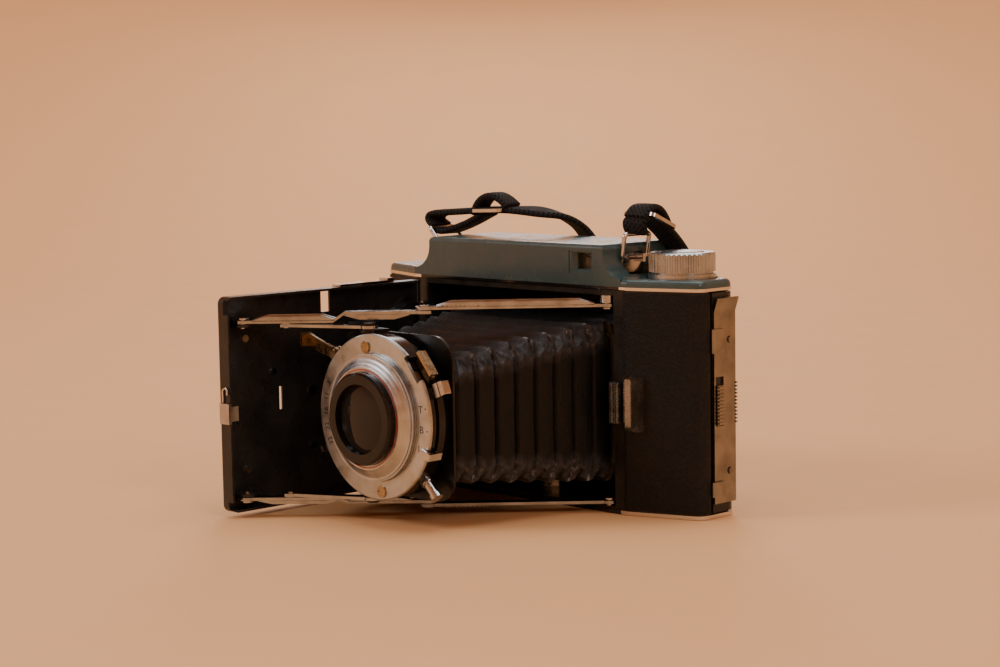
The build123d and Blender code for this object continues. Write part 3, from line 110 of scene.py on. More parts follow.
class Finish:
    """A Principled material with helpers for its procedural inputs."""

    def __init__(self, name, colour, roughness, metallic=0.0, **sockets):
        self.material = bpy.data.materials.new(name)
        self.material.use_nodes = True
        self.tree = self.material.node_tree
        self.shader = self.tree.nodes["Principled BSDF"]
        self.shader.inputs["Base Color"].default_value = (*colour, 1)
        self.shader.inputs["Roughness"].default_value = roughness
        self.shader.inputs["Metallic"].default_value = metallic
        for socket, value in sockets.items():
            self.shader.inputs[socket.replace("_", " ")].default_value = value
        self.place = self.node("ShaderNodeTexCoord").outputs["Object"]

    def node(self, kind, **settings):
        """A new shader node with some of its settings changed."""
        made = self.tree.nodes.new(kind)
        for key, value in settings.items():
            setattr(made, key, value)
        return made

    def link(self, source, target):
        """Joins an output socket to an input socket."""
        self.tree.links.new(source, target)

    def stretched(self, scale):
        """Object coordinates scaled differently along each axis."""
        mapping = self.node("ShaderNodeMapping")
        mapping.inputs["Scale"].default_value = scale
        self.link(self.place, mapping.inputs["Vector"])
        return mapping.outputs["Vector"]

    def noise(self, scale, detail=3.0, vector=None):
        """Cloudy noise from 0 to 1, with about scale clouds to the metre."""
        texture = self.node("ShaderNodeTexNoise")
        texture.inputs["Scale"].default_value = scale
        texture.inputs["Detail"].default_value = detail
        self.link(vector or self.place, texture.inputs["Vector"])
        return texture.outputs["Fac"]

    def cells(self, scale):
        """Distance to the middle of the nearest cell, for pebbled grain."""
        texture = self.node("ShaderNodeTexVoronoi", feature="F1")
        texture.inputs["Scale"].default_value = scale
        self.link(self.place, texture.inputs["Vector"])
        return texture.outputs["Distance"]

    def spread(self, value, low, high, from_low=0.3, from_high=0.7):
        """Maps a value's middle range on to low to high."""
        ranged = self.node("ShaderNodeMapRange")
        limits = {"From Min": from_low, "From Max": from_high, "To Min": low, "To Max": high}
        for socket, number in limits.items():
            ranged.inputs[socket].default_value = number
        self.link(value, ranged.inputs["Value"])
        return ranged.outputs["Result"]

    def combine(self, first, second, operation="ADD"):
        """Adds two values, sockets or numbers, or combines them by another operation."""
        maths = self.node("ShaderNodeMath", operation=operation)
        for index, term in enumerate((first, second)):
            if isinstance(term, (int, float)):
                maths.inputs[index].default_value = term
            else:
                self.link(term, maths.inputs[index])
        return maths.outputs["Value"]

    def colour(self, value, *stops):
        """Colours the surface by a value: each stop is (position, colour)."""
        ramp = self.node("ShaderNodeValToRGB")
        elements = ramp.color_ramp.elements
        for index, (position, colour) in enumerate(stops):
            element = elements[index] if index < RAMP_ELEMENTS else elements.new(position)
            element.position = position
            element.color = (*colour, 1)
        self.link(value, ramp.inputs["Fac"])
        self.link(ramp.outputs["Color"], self.shader.inputs["Base Color"])
        return self

    def rough(self, value, low, high, from_low=0.3, from_high=0.7):
        """Varies the roughness from low to high by a value."""
        self.link(self.spread(value, low, high, from_low, from_high), self.shader.inputs["Roughness"])
        return self

    def bump(self, value, height, strength=1.0):
        """Raises the surface by up to height metres."""
        bump = self.node("ShaderNodeBump")
        bump.inputs["Strength"].default_value = strength
        bump.inputs["Distance"].default_value = height
        self.link(value, bump.inputs["Height"])
        self.link(bump.outputs["Normal"], self.shader.inputs["Normal"])
        return self


def enamel(name, dark=0.008, light=0.022, roughness=(0.22, 0.38)):
    """Black baked enamel with faint orange peel, cloudy handling marks and fine dust."""
    finish = Finish(name, (dark, dark, dark), 0.3, Specular_IOR_Level=0.3, Coat_Weight=0.1,
                    Coat_Roughness=0.12)
    cloud = finish.noise(70, 4)
    finish.colour(cloud, (0.35, (dark, dark, dark)), (0.75, (light, light * 0.95, light * 0.88)))
    finish.rough(finish.noise(160, 5), *roughness)
    return finish.bump(finish.noise(1400, 2), 0.00003, 0.5)


def leatherette():
    """Pressed black cloth with a pebbled grain."""
    finish = Finish("leatherette", (0.012, 0.012, 0.012), 0.5, Specular_IOR_Level=0.22)
    grain = finish.combine(finish.cells(1150), finish.noise(2400, 3), "MULTIPLY")
    finish.colour(grain, (0.02, (0.002, 0.002, 0.002)), (0.42, (0.007, 0.008, 0.0085)))
    finish.rough(finish.noise(90, 3), 0.42, 0.60)
    dents = finish.combine(finish.noise(420, 3), 0.35, "MULTIPLY")
    return finish.bump(finish.combine(grain, dents), 0.00028, 0.9)


def bellows_cloth():
    """Thin black leather, brown in the light, rubbed pale along its folds, with a painted highlight on its
    corners and ridges.
    """
    finish = Finish("bellows_leather", (0.015, 0.012, 0.011), 0.5, Specular_IOR_Level=0.2)
    worn_and_lit = finish.node("ShaderNodeAttribute", attribute_name="wear_and_highlight").outputs["Fac"]
    rubbed_and_highlighted = finish.combine(worn_and_lit, finish.spread(finish.noise(600, 4), 0.15, 1.0), "MULTIPLY")
    # The pale end of the ramp is partly rubbed wear and partly a painted highlight on the corners and
    # ridges.
    finish.colour(rubbed_and_highlighted, (0.0, (0.005, 0.006, 0.0065)), (0.5, (0.045, 0.046, 0.05)),
                  (0.9, (0.30, 0.32, 0.36)))
    grain = finish.noise(1700, 4)
    finish.rough(finish.noise(140, 3), 0.27, 0.46)
    creases = finish.combine(finish.noise(300, 4), 1.6, "MULTIPLY")
    return finish.bump(finish.combine(grain, creases), 0.00016, 0.8)


def housing_plastic():
    """Moulded grey-green plastic with a gloss that years have clouded."""
    finish = Finish("housing_plastic", (0.04, 0.07, 0.07), 0.25, Specular_IOR_Level=0.35, Coat_Weight=0.2,
                    Coat_Roughness=0.10)
    finish.colour(finish.noise(45, 5), (0.3, (0.034, 0.063, 0.064)), (0.8, (0.046, 0.080, 0.081)))
    finish.rough(finish.noise(120, 6), 0.20, 0.36)
    return finish.bump(finish.noise(500, 3), 0.00003, 0.35)


def plated(name, colour=(0.56, 0.57, 0.59), roughness=(0.14, 0.34), streak=(1, 1, 1)):
    """Nickel or chrome plate with fine scratches and dull patches."""
    finish = Finish(name, colour, 0.2, 1.0)
    patches = finish.noise(150, 6)
    dull = tuple(channel * 0.62 for channel in colour)
    finish.colour(patches, (0.30, dull), (0.62, colour))
    scratches = finish.noise(2600, 4, finish.stretched(streak))
    marks = finish.combine(patches, finish.combine(scratches, 0.5, "MULTIPLY"), "MULTIPLY")
    finish.rough(marks, *roughness, 0.1, 0.3)
    return finish.bump(scratches, 0.00002, 0.4)


def trim_metal():
    """Bright plate on the two shoulders, black enamel over the bay."""
    finish = plated("trim_metal", (0.72, 0.71, 0.70), (0.08, 0.20))
    apart = finish.node("ShaderNodeSeparateXYZ")
    finish.link(finish.place, apart.inputs["Vector"])
    shoulder = finish.combine(finish.combine(apart.outputs["X"], 0, "ABSOLUTE"), TRIM_CHANGE, "GREATER_THAN")
    finish.link(shoulder, finish.shader.inputs["Metallic"])
    return finish.colour(shoulder, (0.0, (0.008, 0.008, 0.008)), (1.0, (0.72, 0.71, 0.70)))


def turned_metal(name, colour, rings, height):
    """Satin metal turned on a lathe about the lens axis, with fine rings."""
    finish = Finish(name, colour, 0.35, 1.0)
    apart = finish.node("ShaderNodeSeparateXYZ")
    finish.link(finish.place, apart.inputs["Vector"])
    across = finish.combine(apart.outputs["X"], -LENS_AXIS.x)
    upward = finish.combine(apart.outputs["Z"], -LENS_AXIS.z)
    squares = [finish.combine(side, side, "MULTIPLY") for side in (across, upward)]
    radius = finish.combine(finish.combine(*squares), 0.5, "POWER")
    line = finish.combine(finish.combine(radius, rings, "MULTIPLY"), 0, "SINE")
    cloud = finish.noise(180, 5)
    dull = tuple(channel * 0.72 for channel in colour)
    finish.colour(cloud, (0.3, dull), (0.65, colour))
    finish.rough(finish.combine(cloud, finish.combine(line, 0.08, "MULTIPLY")), 0.26, 0.46)
    return finish.bump(line, height, 0.5)


def brass():
    """Old brass, dull in patches."""
    finish = Finish("brass", (0.62, 0.42, 0.18), 0.25, 1.0)
    finish.colour(finish.noise(240, 5), (0.3, (0.20, 0.15, 0.09)), (0.7, (0.46, 0.36, 0.22)))
    return finish.rough(finish.noise(500, 4), 0.18, 0.42)


def optical_glass(name, tint, clear):
    """Coated glass over a dark inside; clear is the share of light it lets through."""
    finish = Finish(name, tint, 0.02, Transmission_Weight=clear, Specular_IOR_Level=0.2)
    return finish.rough(finish.noise(60, 4), 0.01, 0.06)


def webbing():
    """Black braided webbing, with diagonal ribs from the strap's own length and width coordinates."""
    finish = Finish("webbing", (0.008, 0.008, 0.008), 0.75, Specular_IOR_Level=0.2)
    ribbon = finish.node("ShaderNodeUVMap", uv_map="weave").outputs["UV"]
    apart = finish.node("ShaderNodeSeparateXYZ")
    finish.link(ribbon, apart.inputs["Vector"])
    ribs = []
    for sign in (1, -1):
        aside = finish.combine(apart.outputs["Y"], sign * RIB_SLANT, "MULTIPLY")
        slant = finish.combine(apart.outputs["X"], aside)
        ribs.append(finish.combine(finish.combine(slant, RIB_RATE, "MULTIPLY"), 0, "SINE"))
    braid = finish.combine(ribs[0], ribs[1], "MAXIMUM")
    fuzz = finish.noise(5200, 3)
    height = finish.combine(braid, fuzz)
    finish.colour(height, (0.1, (0.0015, 0.0015, 0.0015)), (0.95, (0.016, 0.016, 0.017)))
    return finish.bump(height, 0.00030, 1.0)


def paint(name, colour, roughness=0.5):
    """A plain colour whose gloss varies a little."""
    finish = Finish(name, colour, roughness)
    return finish.rough(finish.noise(700, 3), roughness - 0.1, roughness + 0.1)


def dress(finish, *names):
    """Gives CAD nodes a finish."""
    for name in names:
        for slot in nodes[name].material_slots:
            slot.material = finish.material


def centre(name):
    """The middle of a node's box."""
    low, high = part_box(name)
    return (Vector(low) + Vector(high)) / 2


LENS_AXIS = centre("lens_bezel")
TRIM_CHANGE = 49 * MM                   # half the width over which the trim is black
RIB_RATE = 2 * math.pi / (1.5 * MM)     # one rib of the braid every 1.5 mm
RIB_SLANT = 0.8                         # how far a rib runs along the strap for each metre across it
black = enamel("black_enamel")
chrome = plated("bright_steel")
strap_cloth = webbing()
dress(black, "body_casting", "back_cover", "door", "hinge_knuckles",
      "window_cover", "pressure_plate", "bellows_frame", "takeup_spool", "supply_spool", "spool_pins")
dress(enamel("shutter_enamel", 0.003, 0.008, (0.10, 0.22)), "shutter_case", "lens_bezel", "rear_cell",
      "shutter_blade_left", "shutter_blade_right")
dress(leatherette(), "front_leather", "back_leather", "door_leather")
dress(housing_plastic(), "top_housing", "finder_frame")
dress(trim_metal(), "top_trim", "base_plate")
dress(chrome, "strap_lugs", "strap_buckles", "winding_shaft", "hinge_pins", "film_roller_left",
      "film_roller_right", "bay_pivots", "catch_plate", "door_strike", "door_rivets", "release_bar",
      "strut_rivets", "pressure_springs", "aperture_ring", "speed_lever", "sync_block",
      "flash_post", "tripod_bush")
strut_plate = plated("strut_plate", (0.42, 0.45, 0.49), (0.12, 0.36), (0.3, 0.3, 3))
dress(strut_plate, "long_struts", "short_struts", "standard_arms")
dress(plated("latch_metal", (0.28, 0.27, 0.25), (0.18, 0.34), (1, 1, 0.1)), "latch_plate", "latch_slider")
dress(plated("knob_metal", (0.42, 0.46, 0.49), (0.26, 0.44)), "wind_knob", "door_catch")
dress(turned_metal("face_metal", (0.52, 0.54, 0.54), 9000, 0.000004), "face_ring")
dress(turned_metal("name_ring_metal", (0.52, 0.54, 0.55), 5200, 0.00004), "name_ring")
dress(enamel("standard_enamel", 0.002, 0.006), "lens_standard")
dress(brass(), "shutter_lever", "release_bracket", "face_screws")
dress(optical_glass("front_glass", (0.020, 0.018, 0.016), 0.2), "front_glass", "rear_glass")
dress(optical_glass("finder_glass", (0.40, 0.36, 0.30), 0.9), "finder_lenses")
dress(paint("ruby", (0.30, 0.01, 0.008), 0.2), "red_window")


# ---------------------------------------------------------------- mesh helpers
def piece_from(name, points, faces, finish):
    """Makes an object with one finish from points, in the frame's own place, and faces."""
    mesh = bpy.data.meshes.new(name)
    mesh.from_pydata([tuple(point) for point in points], [], faces)
    mesh.update()
    mesh.materials.append(finish.material)
    made = bpy.data.objects.new(name, mesh)
    bpy.context.collection.objects.link(made)
    return made


def bake_modifiers(made):
    """Applies an object's modifiers to its mesh."""
    bpy.context.view_layer.update()
    graph = bpy.context.evaluated_depsgraph_get()
    mesh = bpy.data.meshes.new_from_object(made.evaluated_get(graph))
    made.modifiers.clear()
    made.data = mesh


def smooth(made, flat=False):
    """Shades an object's faces smooth, or flat."""
    made.data.polygons.foreach_set("use_smooth", [not flat] * len(made.data.polygons))


# ---------------------------------------------------------------- bellows
PLEATS = 11
SIDE_DEPTH, TOP_DEPTH = 2.6 * MM, 2.8 * MM
BELLOWS_SHEET = 0.5 * MM
FRONT_GAP, BACK_GAP = 0.2 * MM, 0.1 * MM    # to the ends of the plain CAD bellows
GROOVE_SHARE = 0.17                     # half the width of a side's groove, as a share of the pleat
CREST_SHARE = 0.14                      # half the width of the worn strip with its painted highlight on a top ridge, likewise
PLEAT_STOPS = (0.0, 0.09, 0.17, 0.34, 0.5, 0.66, 0.83, 0.91)
POINTS_ALONG_TOP, POINTS_ALONG_SIDE = 14, 10
SIDE_DROP, DROP_LOST = 7.4, 6.0         # mm a side panel starts below the top, and what its peak takes off
TOP_INSET, INSET_GAINED = 1.0, 3.5      # mm the top ends inside the side, and what the peak adds
SAG = 0.35 * MM
CREASE_LIFT = 0.22 * MM
ROW_WANDER, POINT_WANDER = 7.3, 1.7     # radians, so that no two creases lift alike
TOP_WEAR_HIGHLIGHT_FADE, SIDE_WEAR_HIGHLIGHT_FADE = 9, 12   # corner wear and painted highlight end within one part in so many of an edge


def bellows_section(share):
    """Half width, half height and middle height of the bellows, from the front (0) to the back (1)."""
    half_width = (28.0 + share * 16.3) * MM
    half_height = (20.5 + share * 9.6) * MM
    return half_width, half_height, (36.2 + share * 1.5) * MM


def side_fold(phase):
    """How far the side lies inside its outer line: a broad panel between narrow grooves."""
    gap = min(phase, 1 - phase)
    return max(0.0, 1 - gap / GROOVE_SHARE)


def top_fold(phase):
    """How far the top lies inside its outer line: its ridges stand where the sides have their grooves."""
    gap = min(phase, 1 - phase)
    return min(1.0, gap / 0.5)


def bellows_ring(half_width, half_height, phase):
    """Points (x, z, corner) round one section, where corner is 1 at the four corners and 0 between them."""
    # At each corner the side's panels rise to a point and the top's fall back between them.
    peak = top_fold(phase)
    x_edge = half_width - side_fold(phase) * SIDE_DEPTH
    z_edge = half_height - peak * TOP_DEPTH
    drop = (SIDE_DROP - DROP_LOST * peak) * MM
    back_in = (TOP_INSET + INSET_GAINED * peak) * MM
    ring = []
    for sign_z, sign_x in ((1, 1), (1, -1), (-1, -1), (-1, 1)):
        along_x = sign_z == sign_x
        if along_x:
            count, fade, slack = POINTS_ALONG_TOP, TOP_WEAR_HIGHLIGHT_FADE, SAG
            start = (sign_x * (x_edge - back_in), sign_z * z_edge)
            end = (-start[0], start[1])
        else:
            count, fade, slack = POINTS_ALONG_SIDE, SIDE_WEAR_HIGHLIGHT_FADE, SAG / 2
            start = (sign_x * x_edge, sign_z * (z_edge - drop))
            end = (start[0], -start[1])
        for step in range(count):
            t = step / (count - 1)
            sag = math.sin(math.pi * t) * slack
            x = start[0] + t * (end[0] - start[0])
            z = start[1] + t * (end[1] - start[1])
            if along_x:
                z -= sign_z * sag
            else:
                x -= sign_x * sag
            ring.append((x, z, max(0.0, 1 - min(t, 1 - t) * fade)))
    return ring


def make_bellows():
    """A pleated sheet from the lens standard to the frame in the bay, fixed to the camera body; on the real
    camera it closes up with the door.
    """
    low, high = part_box("bellows")
    front, back = low[1] + FRONT_GAP, high[1] - BACK_GAP
    stops = [pleat + phase for pleat in range(PLEATS) for phase in PLEAT_STOPS] + [PLEATS]
    points, wear_and_highlight = [], []
    for stop in stops:
        share = stop / PLEATS
        phase = stop % 1.0
        half_width, half_height, middle = bellows_section(share)
        ring = bellows_ring(half_width, half_height, phase)
        crest = max(0.0, 1 - min(phase, 1 - phase) / CREST_SHARE)
        for index, (x, z, corner) in enumerate(ring):
            uneven = math.sin(stop * ROW_WANDER + index * POINT_WANDER)
            lift = CREASE_LIFT * uneven * (0.3 + corner)
            y = front + share * (back - front) + lift
            points.append((x, min(max(y, front), back), middle + z))
            # Pale at the four corners and most on the ridges: partly wear, partly a painted highlight.
            wear_and_highlight.append(corner * (0.55 + 0.45 * crest))
    size = len(ring)
    faces = []
    for row in range(len(stops) - 1):
        for index in range(size):
            after = (index + 1) % size
            first = row * size
            faces.append((first + index, first + after, first + size + after, first + size + index))
    made = piece_from("pleated_bellows", points, faces, bellows_cloth())
    # The attribute carries the corner wear and painted highlight to the leather's colour.
    attribute = made.data.attributes.new("wear_and_highlight", "FLOAT", "POINT")
    attribute.data.foreach_set("value", wear_and_highlight)
    shell = made.modifiers.new("sheet", "SOLIDIFY")
    shell.thickness = BELLOWS_SHEET
    shell.offset = -1
    bake_modifiers(made)
    smooth(made, flat=True)
    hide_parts("bellows")
    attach(made, "camera_body")
    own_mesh(made)


make_bellows()

# ---------------------------------------------------------------- strap
WEB_WIDTH, WEB_THICK = 10 * MM, 2.5 * MM
WEB_SIDES = 16                          # points round the webbing's section
FACE_POWER, SELVEDGE_POWER = 0.35, 0.7  # below 1, they square up the section's oval
TURN_PASSES = 4                         # how often the webbing's turns are evened out
NO_GAP = 1e-6                           # keeps a blend's weights above zero
# The strap's line, from the left bail over the hump, down behind and back up to the right bail, in mm.
# Each point also has the direction across the webbing there.
STRAP_ROUTE = (
    ((-54.0, -3.5, 94.1), (0, 1, 0)), ((-57.4, -3.4, 95.4), (0, 1, 0)), ((-56.8, -2.8, 98.6), (0, 1, 0)),
    ((-48, -1.0, 99.0), (-0.2, 1, 0)), ((-37, 1.5, 99.8), (-0.2, 1, 0)), ((-25, 4.0, 100.2), (-0.2, 1, 0)),
    ((-14.5, 8.5, 99.5), (-0.5, 1, 0.2)), ((-8, 15.5, 97.6), (-1, 0.5, 0)), ((-4, 22.5, 91.5), (-1, 0.3, 0)),
    ((-1.5, 25.5, 79), (-1, 0, 0)), ((1, 26.0, 61), (-1, 0, 0)), ((2, 26.8, 42), (-1, 0, 0)),
    ((1, 28.5, 23), (-1, 0, 0)), ((-4, 33, 8.5), (-1, -0.2, 0)), ((-14, 38.5, 2.4), (-0.5, -1, 0)),
    ((-29, 42, 2.2), (-0.3, -1, 0)), ((-45, 47, 2.2), (-0.5, -1, 0)), ((-57, 58, 2.2), (-1, -0.5, 0)),
    ((-56, 72, 2.2), (-1, 0.5, 0)), ((-42, 79.5, 2.2), (-0.3, 1, 0)), ((-22, 78, 2.2), (0.3, 1, 0)),
    ((-3, 70, 2.2), (0.5, 1, 0)), ((12, 57.5, 2.4), (0.6, 1, 0)), ((23, 44, 6), (1, 0.6, 0)),
    ((30, 34.5, 17), (1, 0.3, 0)), ((35, 29.5, 33), (1, 0, 0)), ((39, 27.0, 50), (1, 0, 0)),
    ((42, 25.8, 67), (1, 0, 0)), ((44, 22.8, 80), (1, 0, 0)), ((44.8, 14.5, 89.5), (1, 0, 0)),
    ((45, 6.0, 96.5), (1, 0, 0)), ((44.8, -2.0, 100.0), (1, 0, 0)), ((44.3, -6.4, 97.8), (1, 0, 0)),
    ((43.9, -3.6, 94.4), (1, 0, 0)),
)


def spline_points(route):
    """Points along a smooth curve that a given route steers."""
    data = bpy.data.curves.new("strap_line", "CURVE")
    data.dimensions = "3D"
    data.resolution_u = 10
    spline = data.splines.new("NURBS")
    spline.points.add(len(route) - 1)
    for point, (place, _) in zip(spline.points, route):
        point.co = (*[number * MM for number in place], 1)
    spline.order_u = 3
    spline.use_endpoint_u = True
    line = bpy.data.objects.new("strap_line", data)
    bpy.context.collection.objects.link(line)
    bpy.context.view_layer.update()
    graph = bpy.context.evaluated_depsgraph_get()
    mesh = bpy.data.meshes.new_from_object(line.evaluated_get(graph))
    found = [vertex.co.copy() for vertex in mesh.vertices]
    bpy.data.objects.remove(line)
    bpy.data.meshes.remove(mesh)
    return found


def across_at(place, route):
    """The direction across the webbing near a place: a blend of the two nearest route points' own."""
    near = sorted(route, key=lambda row: (Vector(row[0]) * MM - place).length)[:2]
    gaps = [(Vector(row[0]) * MM - place).length + NO_GAP for row in near]
    blend = Vector(near[0][1]).normalized() * gaps[1] + Vector(near[1][1]).normalized() * gaps[0]
    return blend.normalized()


def make_webbing(name, route):
    """A flat woven ribbon along a route: gives the piece, its middle line and that line's length."""
    path = spline_points(route)
    section = []
    for turn in range(WEB_SIDES):
        angle = 2 * math.pi * turn / WEB_SIDES
        # A flattened superellipse: flat faces and rounded selvedges.
        side = math.copysign(abs(math.cos(angle)) ** FACE_POWER, math.cos(angle)) * WEB_WIDTH / 2
        rise = math.copysign(abs(math.sin(angle)) ** SELVEDGE_POWER, math.sin(angle)) * WEB_THICK / 2
        section.append((side, rise))
    directions = [across_at(place, route) for place in path]
    for _ in range(TURN_PASSES):
        directions = [(directions[max(i - 1, 0)] + directions[i] * 2
                       + directions[min(i + 1, len(path) - 1)]).normalized() for i in range(len(path))]
    points, lengths, travelled = [], [], 0.0
    for index, place in enumerate(path):
        ahead = path[min(index + 1, len(path) - 1)] - path[max(index - 1, 0)]
        tangent = ahead.normalized()
        across = directions[index]
        across = (across - tangent * across.dot(tangent)).normalized()
        normal = tangent.cross(across)
        if index:
            travelled += (place - path[index - 1]).length
        lengths.append(travelled)
        points += [place + across * side + normal * rise for side, rise in section]
    size = len(section)
    faces = [tuple(reversed(range(size))), tuple(range(len(points) - size, len(points)))]
    for row in range(len(path) - 1):
        first = row * size
        for index in range(size):
            after = (index + 1) % size
            faces.append((first + index, first + after, first + size + after, first + size + index))
    made = piece_from(name, points, faces, strap_cloth)
    layer = made.data.uv_layers.new(name="weave")
    for loop in made.data.loops:
        row, index = divmod(loop.vertex_index, size)
        layer.data[loop.index].uv = (lengths[row], section[index][0])
    smooth(made)
    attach(made, "camera_body")
    return made, path, travelled


# The folded-back ends at each bail, and the folds over the buckles' middle bars.
LEFT_RETURN = (
    ((-55.0, -3.4, 93.0), (0, 1, 0)), ((-52.0, -3.0, 91.8), (0, 1, 0)),
    ((-48.0, -1.6, 92.6), (-0.1, 1, 0)), ((-42.0, 0.2, 94.8), (-0.2, 1, 0)),
    ((-37.0, 1.3, 97.2), (-0.2, 1, 0)), ((-33.5, 2.1, 98.9), (-0.2, 1, 0)),
)
LEFT_FOLD = (
    ((-38.5, 1.1, 98.4), (-0.2, 1, 0)), ((-37.0, 1.4, 102.6), (-0.2, 1, 0)),
    ((-32.5, 2.4, 105.6), (-0.2, 1, 0)), ((-27.5, 3.4, 104.6), (-0.2, 1, 0)),
    ((-24.0, 4.2, 101.4), (-0.2, 1, 0)),
)
RIGHT_FOLD = (
    ((44.8, 7.8, 95.6), (1, 0, 0)), ((44.9, 5.6, 100.2), (1, 0, 0)), ((44.9, 1.4, 103.2), (1, 0, 0)),
    ((44.8, -3.2, 102.4), (1, 0, 0)), ((44.7, -5.0, 99.6), (1, 0, 0)),
)
strap, strap_path, strap_length = make_webbing("webbing_strap", STRAP_ROUTE)
strap_ends = [make_webbing(name, route)[0] for name, route in
              (("strap_return_left", LEFT_RETURN), ("strap_fold_left", LEFT_FOLD),
               ("strap_fold_right", RIGHT_FOLD))]
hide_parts("carrying_strap")

# ---------------------------------------------------------------- rolled edges of the struts
DOOR_PIVOT, ELBOW, BAY_PIVOT = (-45.5, -103.5), (0.0, -61.5), (42.5, -17.0)
EDGE_HALF, CROWN_HALF, CROWN_RISE = 0.35, 0.15, 0.45    # a rolled edge's section, in mm
EDGE_TAPER, TAPERED_HEIGHT = 5, 0.3     # mm the taper at each end takes, and the share of height left there


def rolled_edges(name, start, end, span, half_width, heights, body):
    """Two upright rolled edges along a strut, between two distances (span) from its start, in mm.

    heights runs from the strip to the free edge, and the edges taper towards both ends of the span.
    """
    line = (Vector(end) - Vector(start)).normalized()
    aside = Vector((-line.y, line.x))
    root, (low, high) = heights[0], sorted(heights)
    side_top = high - min(CROWN_RISE, (high - low) / 3)
    profile = ((-EDGE_HALF, low), (EDGE_HALF, low), (EDGE_HALF, side_top),
               (CROWN_HALF, high), (-CROWN_HALF, high), (-EDGE_HALF, side_top))
    points, faces = [], []
    size = len(profile)
    stations = ((span[0], TAPERED_HEIGHT), (span[0] + EDGE_TAPER, 1.0),
                (span[1] - EDGE_TAPER, 1.0), (span[1], TAPERED_HEIGHT))
    for side in (-1, 1):
        first = len(points)
        for distance, tall in stations:
            for offset, z in profile:
                reach = side * (half_width - EDGE_HALF) + offset
                place = Vector(start) + line * distance + aside * reach
                points.append((place.x * MM, place.y * MM, (root + tall * (z - root)) * MM))
        last = len(points) - size
        for row in range(first, last, size):
            for index in range(size):
                after = (index + 1) % size
                faces.append((row + index, row + after, row + size + after, row + size + index))
        faces.append(tuple(first + index for index in reversed(range(size))))
        faces.append(tuple(last + index for index in range(size)))
    made = piece_from(name, points, faces, strut_plate)
    smooth(made, flat=True)
    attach(made, body)


rolled_edges("door_strut_edges_top", DOOR_PIVOT, ELBOW, (4, 32), 2.6, (66.9, 68.9), "long_struts")
rolled_edges("elbow_strut_edges_top", DOOR_PIVOT, ELBOW, (35, 57), 2.6, (69.2, 67.2), "long_struts")
rolled_edges("bay_strut_edges_top", ELBOW, BAY_PIVOT, (4, 57), 2.3, (70.9, 73.0), "short_struts")
rolled_edges("door_strut_edges_base", DOOR_PIVOT, ELBOW, (4, 32), 2.6, (6.1, 4.6), "long_struts")
rolled_edges("elbow_strut_edges_base", DOOR_PIVOT, ELBOW, (35, 57), 2.6, (5.3, 6.9), "long_struts")

# ---------------------------------------------------------------- marks on the shutter
FACE_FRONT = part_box("face_ring")[0][1]
RING_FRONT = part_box("name_ring")[0][1]
ink = paint("black_ink", (0.01, 0.01, 0.01))
MARK_LIFT = 0.05 * MM
SPEED_RADIUS, SPEED_SIZE, FIRST_SPEED, SPEED_STEP = 23.6 * MM, 3.4 * MM, 11, -16
DOT_RADIUS, DOT_SIZE, DOT_LEAD = 26.2 * MM, 4.5 * MM, 2.5
STOP_RADIUS, STOP_SIZE, FIRST_STOP, STOP_STEP = 24.4 * MM, 2.9 * MM, 156, 12


def mark(name, text, radius, angle, size, tilt):
    """A character printed on the face ring, at an angle above +X as seen from the front."""
    data = bpy.data.curves.new(name, "FONT")
    data.body = text
    data.size = size
    data.align_x = "CENTER"
    data.align_y = "CENTER"
    data.extrude = MARK_LIFT
    letter = bpy.data.objects.new(name, data)
    turn = math.radians(angle)
    letter.location = (LENS_AXIS.x + radius * math.cos(turn), FACE_FRONT,
                       LENS_AXIS.z + radius * math.sin(turn))
    letter.rotation_euler = (math.pi / 2, math.radians(-tilt), 0)
    bpy.context.collection.objects.link(letter)
    bpy.context.view_layer.update()
    graph = bpy.context.evaluated_depsgraph_get()
    mesh = bpy.data.meshes.new_from_object(letter.evaluated_get(graph))
    mesh.transform(letter.matrix_world)
    bpy.data.objects.remove(letter)
    mesh.materials.clear()
    mesh.materials.append(ink.material)
    made = bpy.data.objects.new(name, mesh)
    bpy.context.collection.objects.link(made)
    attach(made, "lens_unit")


for number, text in enumerate(("T", "B", "I")):
    angle = FIRST_SPEED + SPEED_STEP * number
    mark(f"speed_mark_{text}", text, SPEED_RADIUS, angle, SPEED_SIZE, 0)
    mark(f"speed_dot_{text}", ".", DOT_RADIUS, angle + DOT_LEAD, DOT_SIZE, 0)
for number, text in enumerate(("8", "11", "16", "22", "32")):
    angle = FIRST_STOP + STOP_STEP * number
    mark(f"stop_mark_{text}", text, STOP_RADIUS, angle, STOP_SIZE, angle - 90)


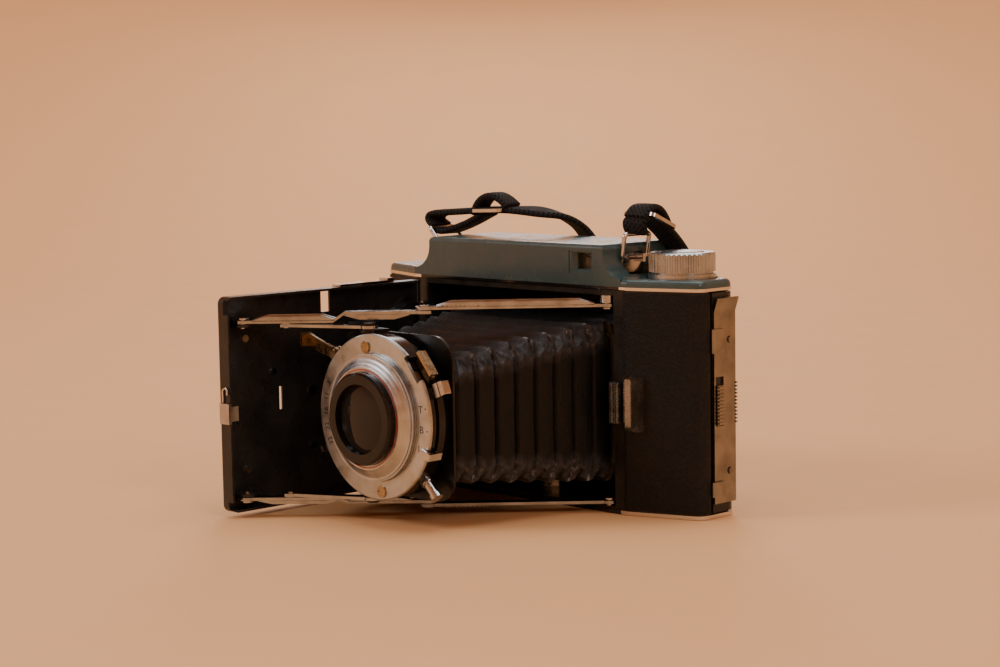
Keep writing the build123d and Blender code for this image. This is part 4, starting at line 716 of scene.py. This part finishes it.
def ring(name, radius, width, y_front, finish, body):
    """A thin painted ring about the lens axis."""
    points, faces = [], []
    steps = 96
    y_back = y_front + 2 * MARK_LIFT
    section = ((radius, y_front), (radius + width, y_front), (radius + width, y_back), (radius, y_back))
    for step in range(steps):
        angle = 2 * math.pi * step / steps
        for reach, y in section:
            points.append((LENS_AXIS.x + reach * math.cos(angle), y, LENS_AXIS.z + reach * math.sin(angle)))
        for index in range(4):
            after = (index + 1) % 4
            here, there = 4 * step, 4 * ((step + 1) % steps)
            faces.append((here + index, here + after, there + after, there + index))
    made = piece_from(name, points, faces, finish)
    smooth(made, flat=True)
    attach(made, body)


RED_RADIUS, RED_WIDTH, RED_FRONT = 16.1 * MM, 0.35 * MM, RING_FRONT - 0.02 * MM
ring("red_ring", RED_RADIUS, RED_WIDTH, RED_FRONT, paint("red_paint", (0.35, 0.02, 0.02)), "lens_unit")

# ---------------------------------------------------------------- backdrop
BOWL_FLAT, BOWL_RADIUS, BOWL_HEIGHT = 0.95, 2.0, 2.6
BOWL_STEPS, BEND_STEPS = 96, 16         # steps round the bowl and up its bend
BACKDROP_COLOUR = (0.74, 0.40, 0.175)


def make_backdrop():
    """One seamless sheet: a flat floor that curves up into a round wall."""
    bend = BOWL_RADIUS - BOWL_FLAT
    outline = [(0.0, 0.0), (BOWL_FLAT / 2, 0.0)]
    for step in range(BEND_STEPS + 1):
        angle = math.pi / 2 * step / BEND_STEPS
        outline.append((BOWL_FLAT + bend * math.sin(angle), bend * (1 - math.cos(angle))))
    outline.append((BOWL_RADIUS, BOWL_HEIGHT))
    points = [(0.0, 0.0, 0.0)]
    for radius, z in outline[1:]:
        for turn in range(BOWL_STEPS):
            angle = 2 * math.pi * turn / BOWL_STEPS
            points.append((radius * math.cos(angle), radius * math.sin(angle), z))
    faces = [(0, 1 + turn, 1 + (turn + 1) % BOWL_STEPS) for turn in range(BOWL_STEPS)]
    for row in range(len(outline) - 2):
        first = 1 + row * BOWL_STEPS
        for turn in range(BOWL_STEPS):
            here, after = first + turn, first + (turn + 1) % BOWL_STEPS
            faces.append((here, here + BOWL_STEPS, after + BOWL_STEPS, after))
    finish = Finish("backdrop", BACKDROP_COLOUR, 0.8)
    finish.rough(finish.noise(30, 3), 0.72, 0.85)
    made = piece_from("backdrop", points, faces, finish)
    smooth(made)


make_backdrop()

place_camera()
light_room()
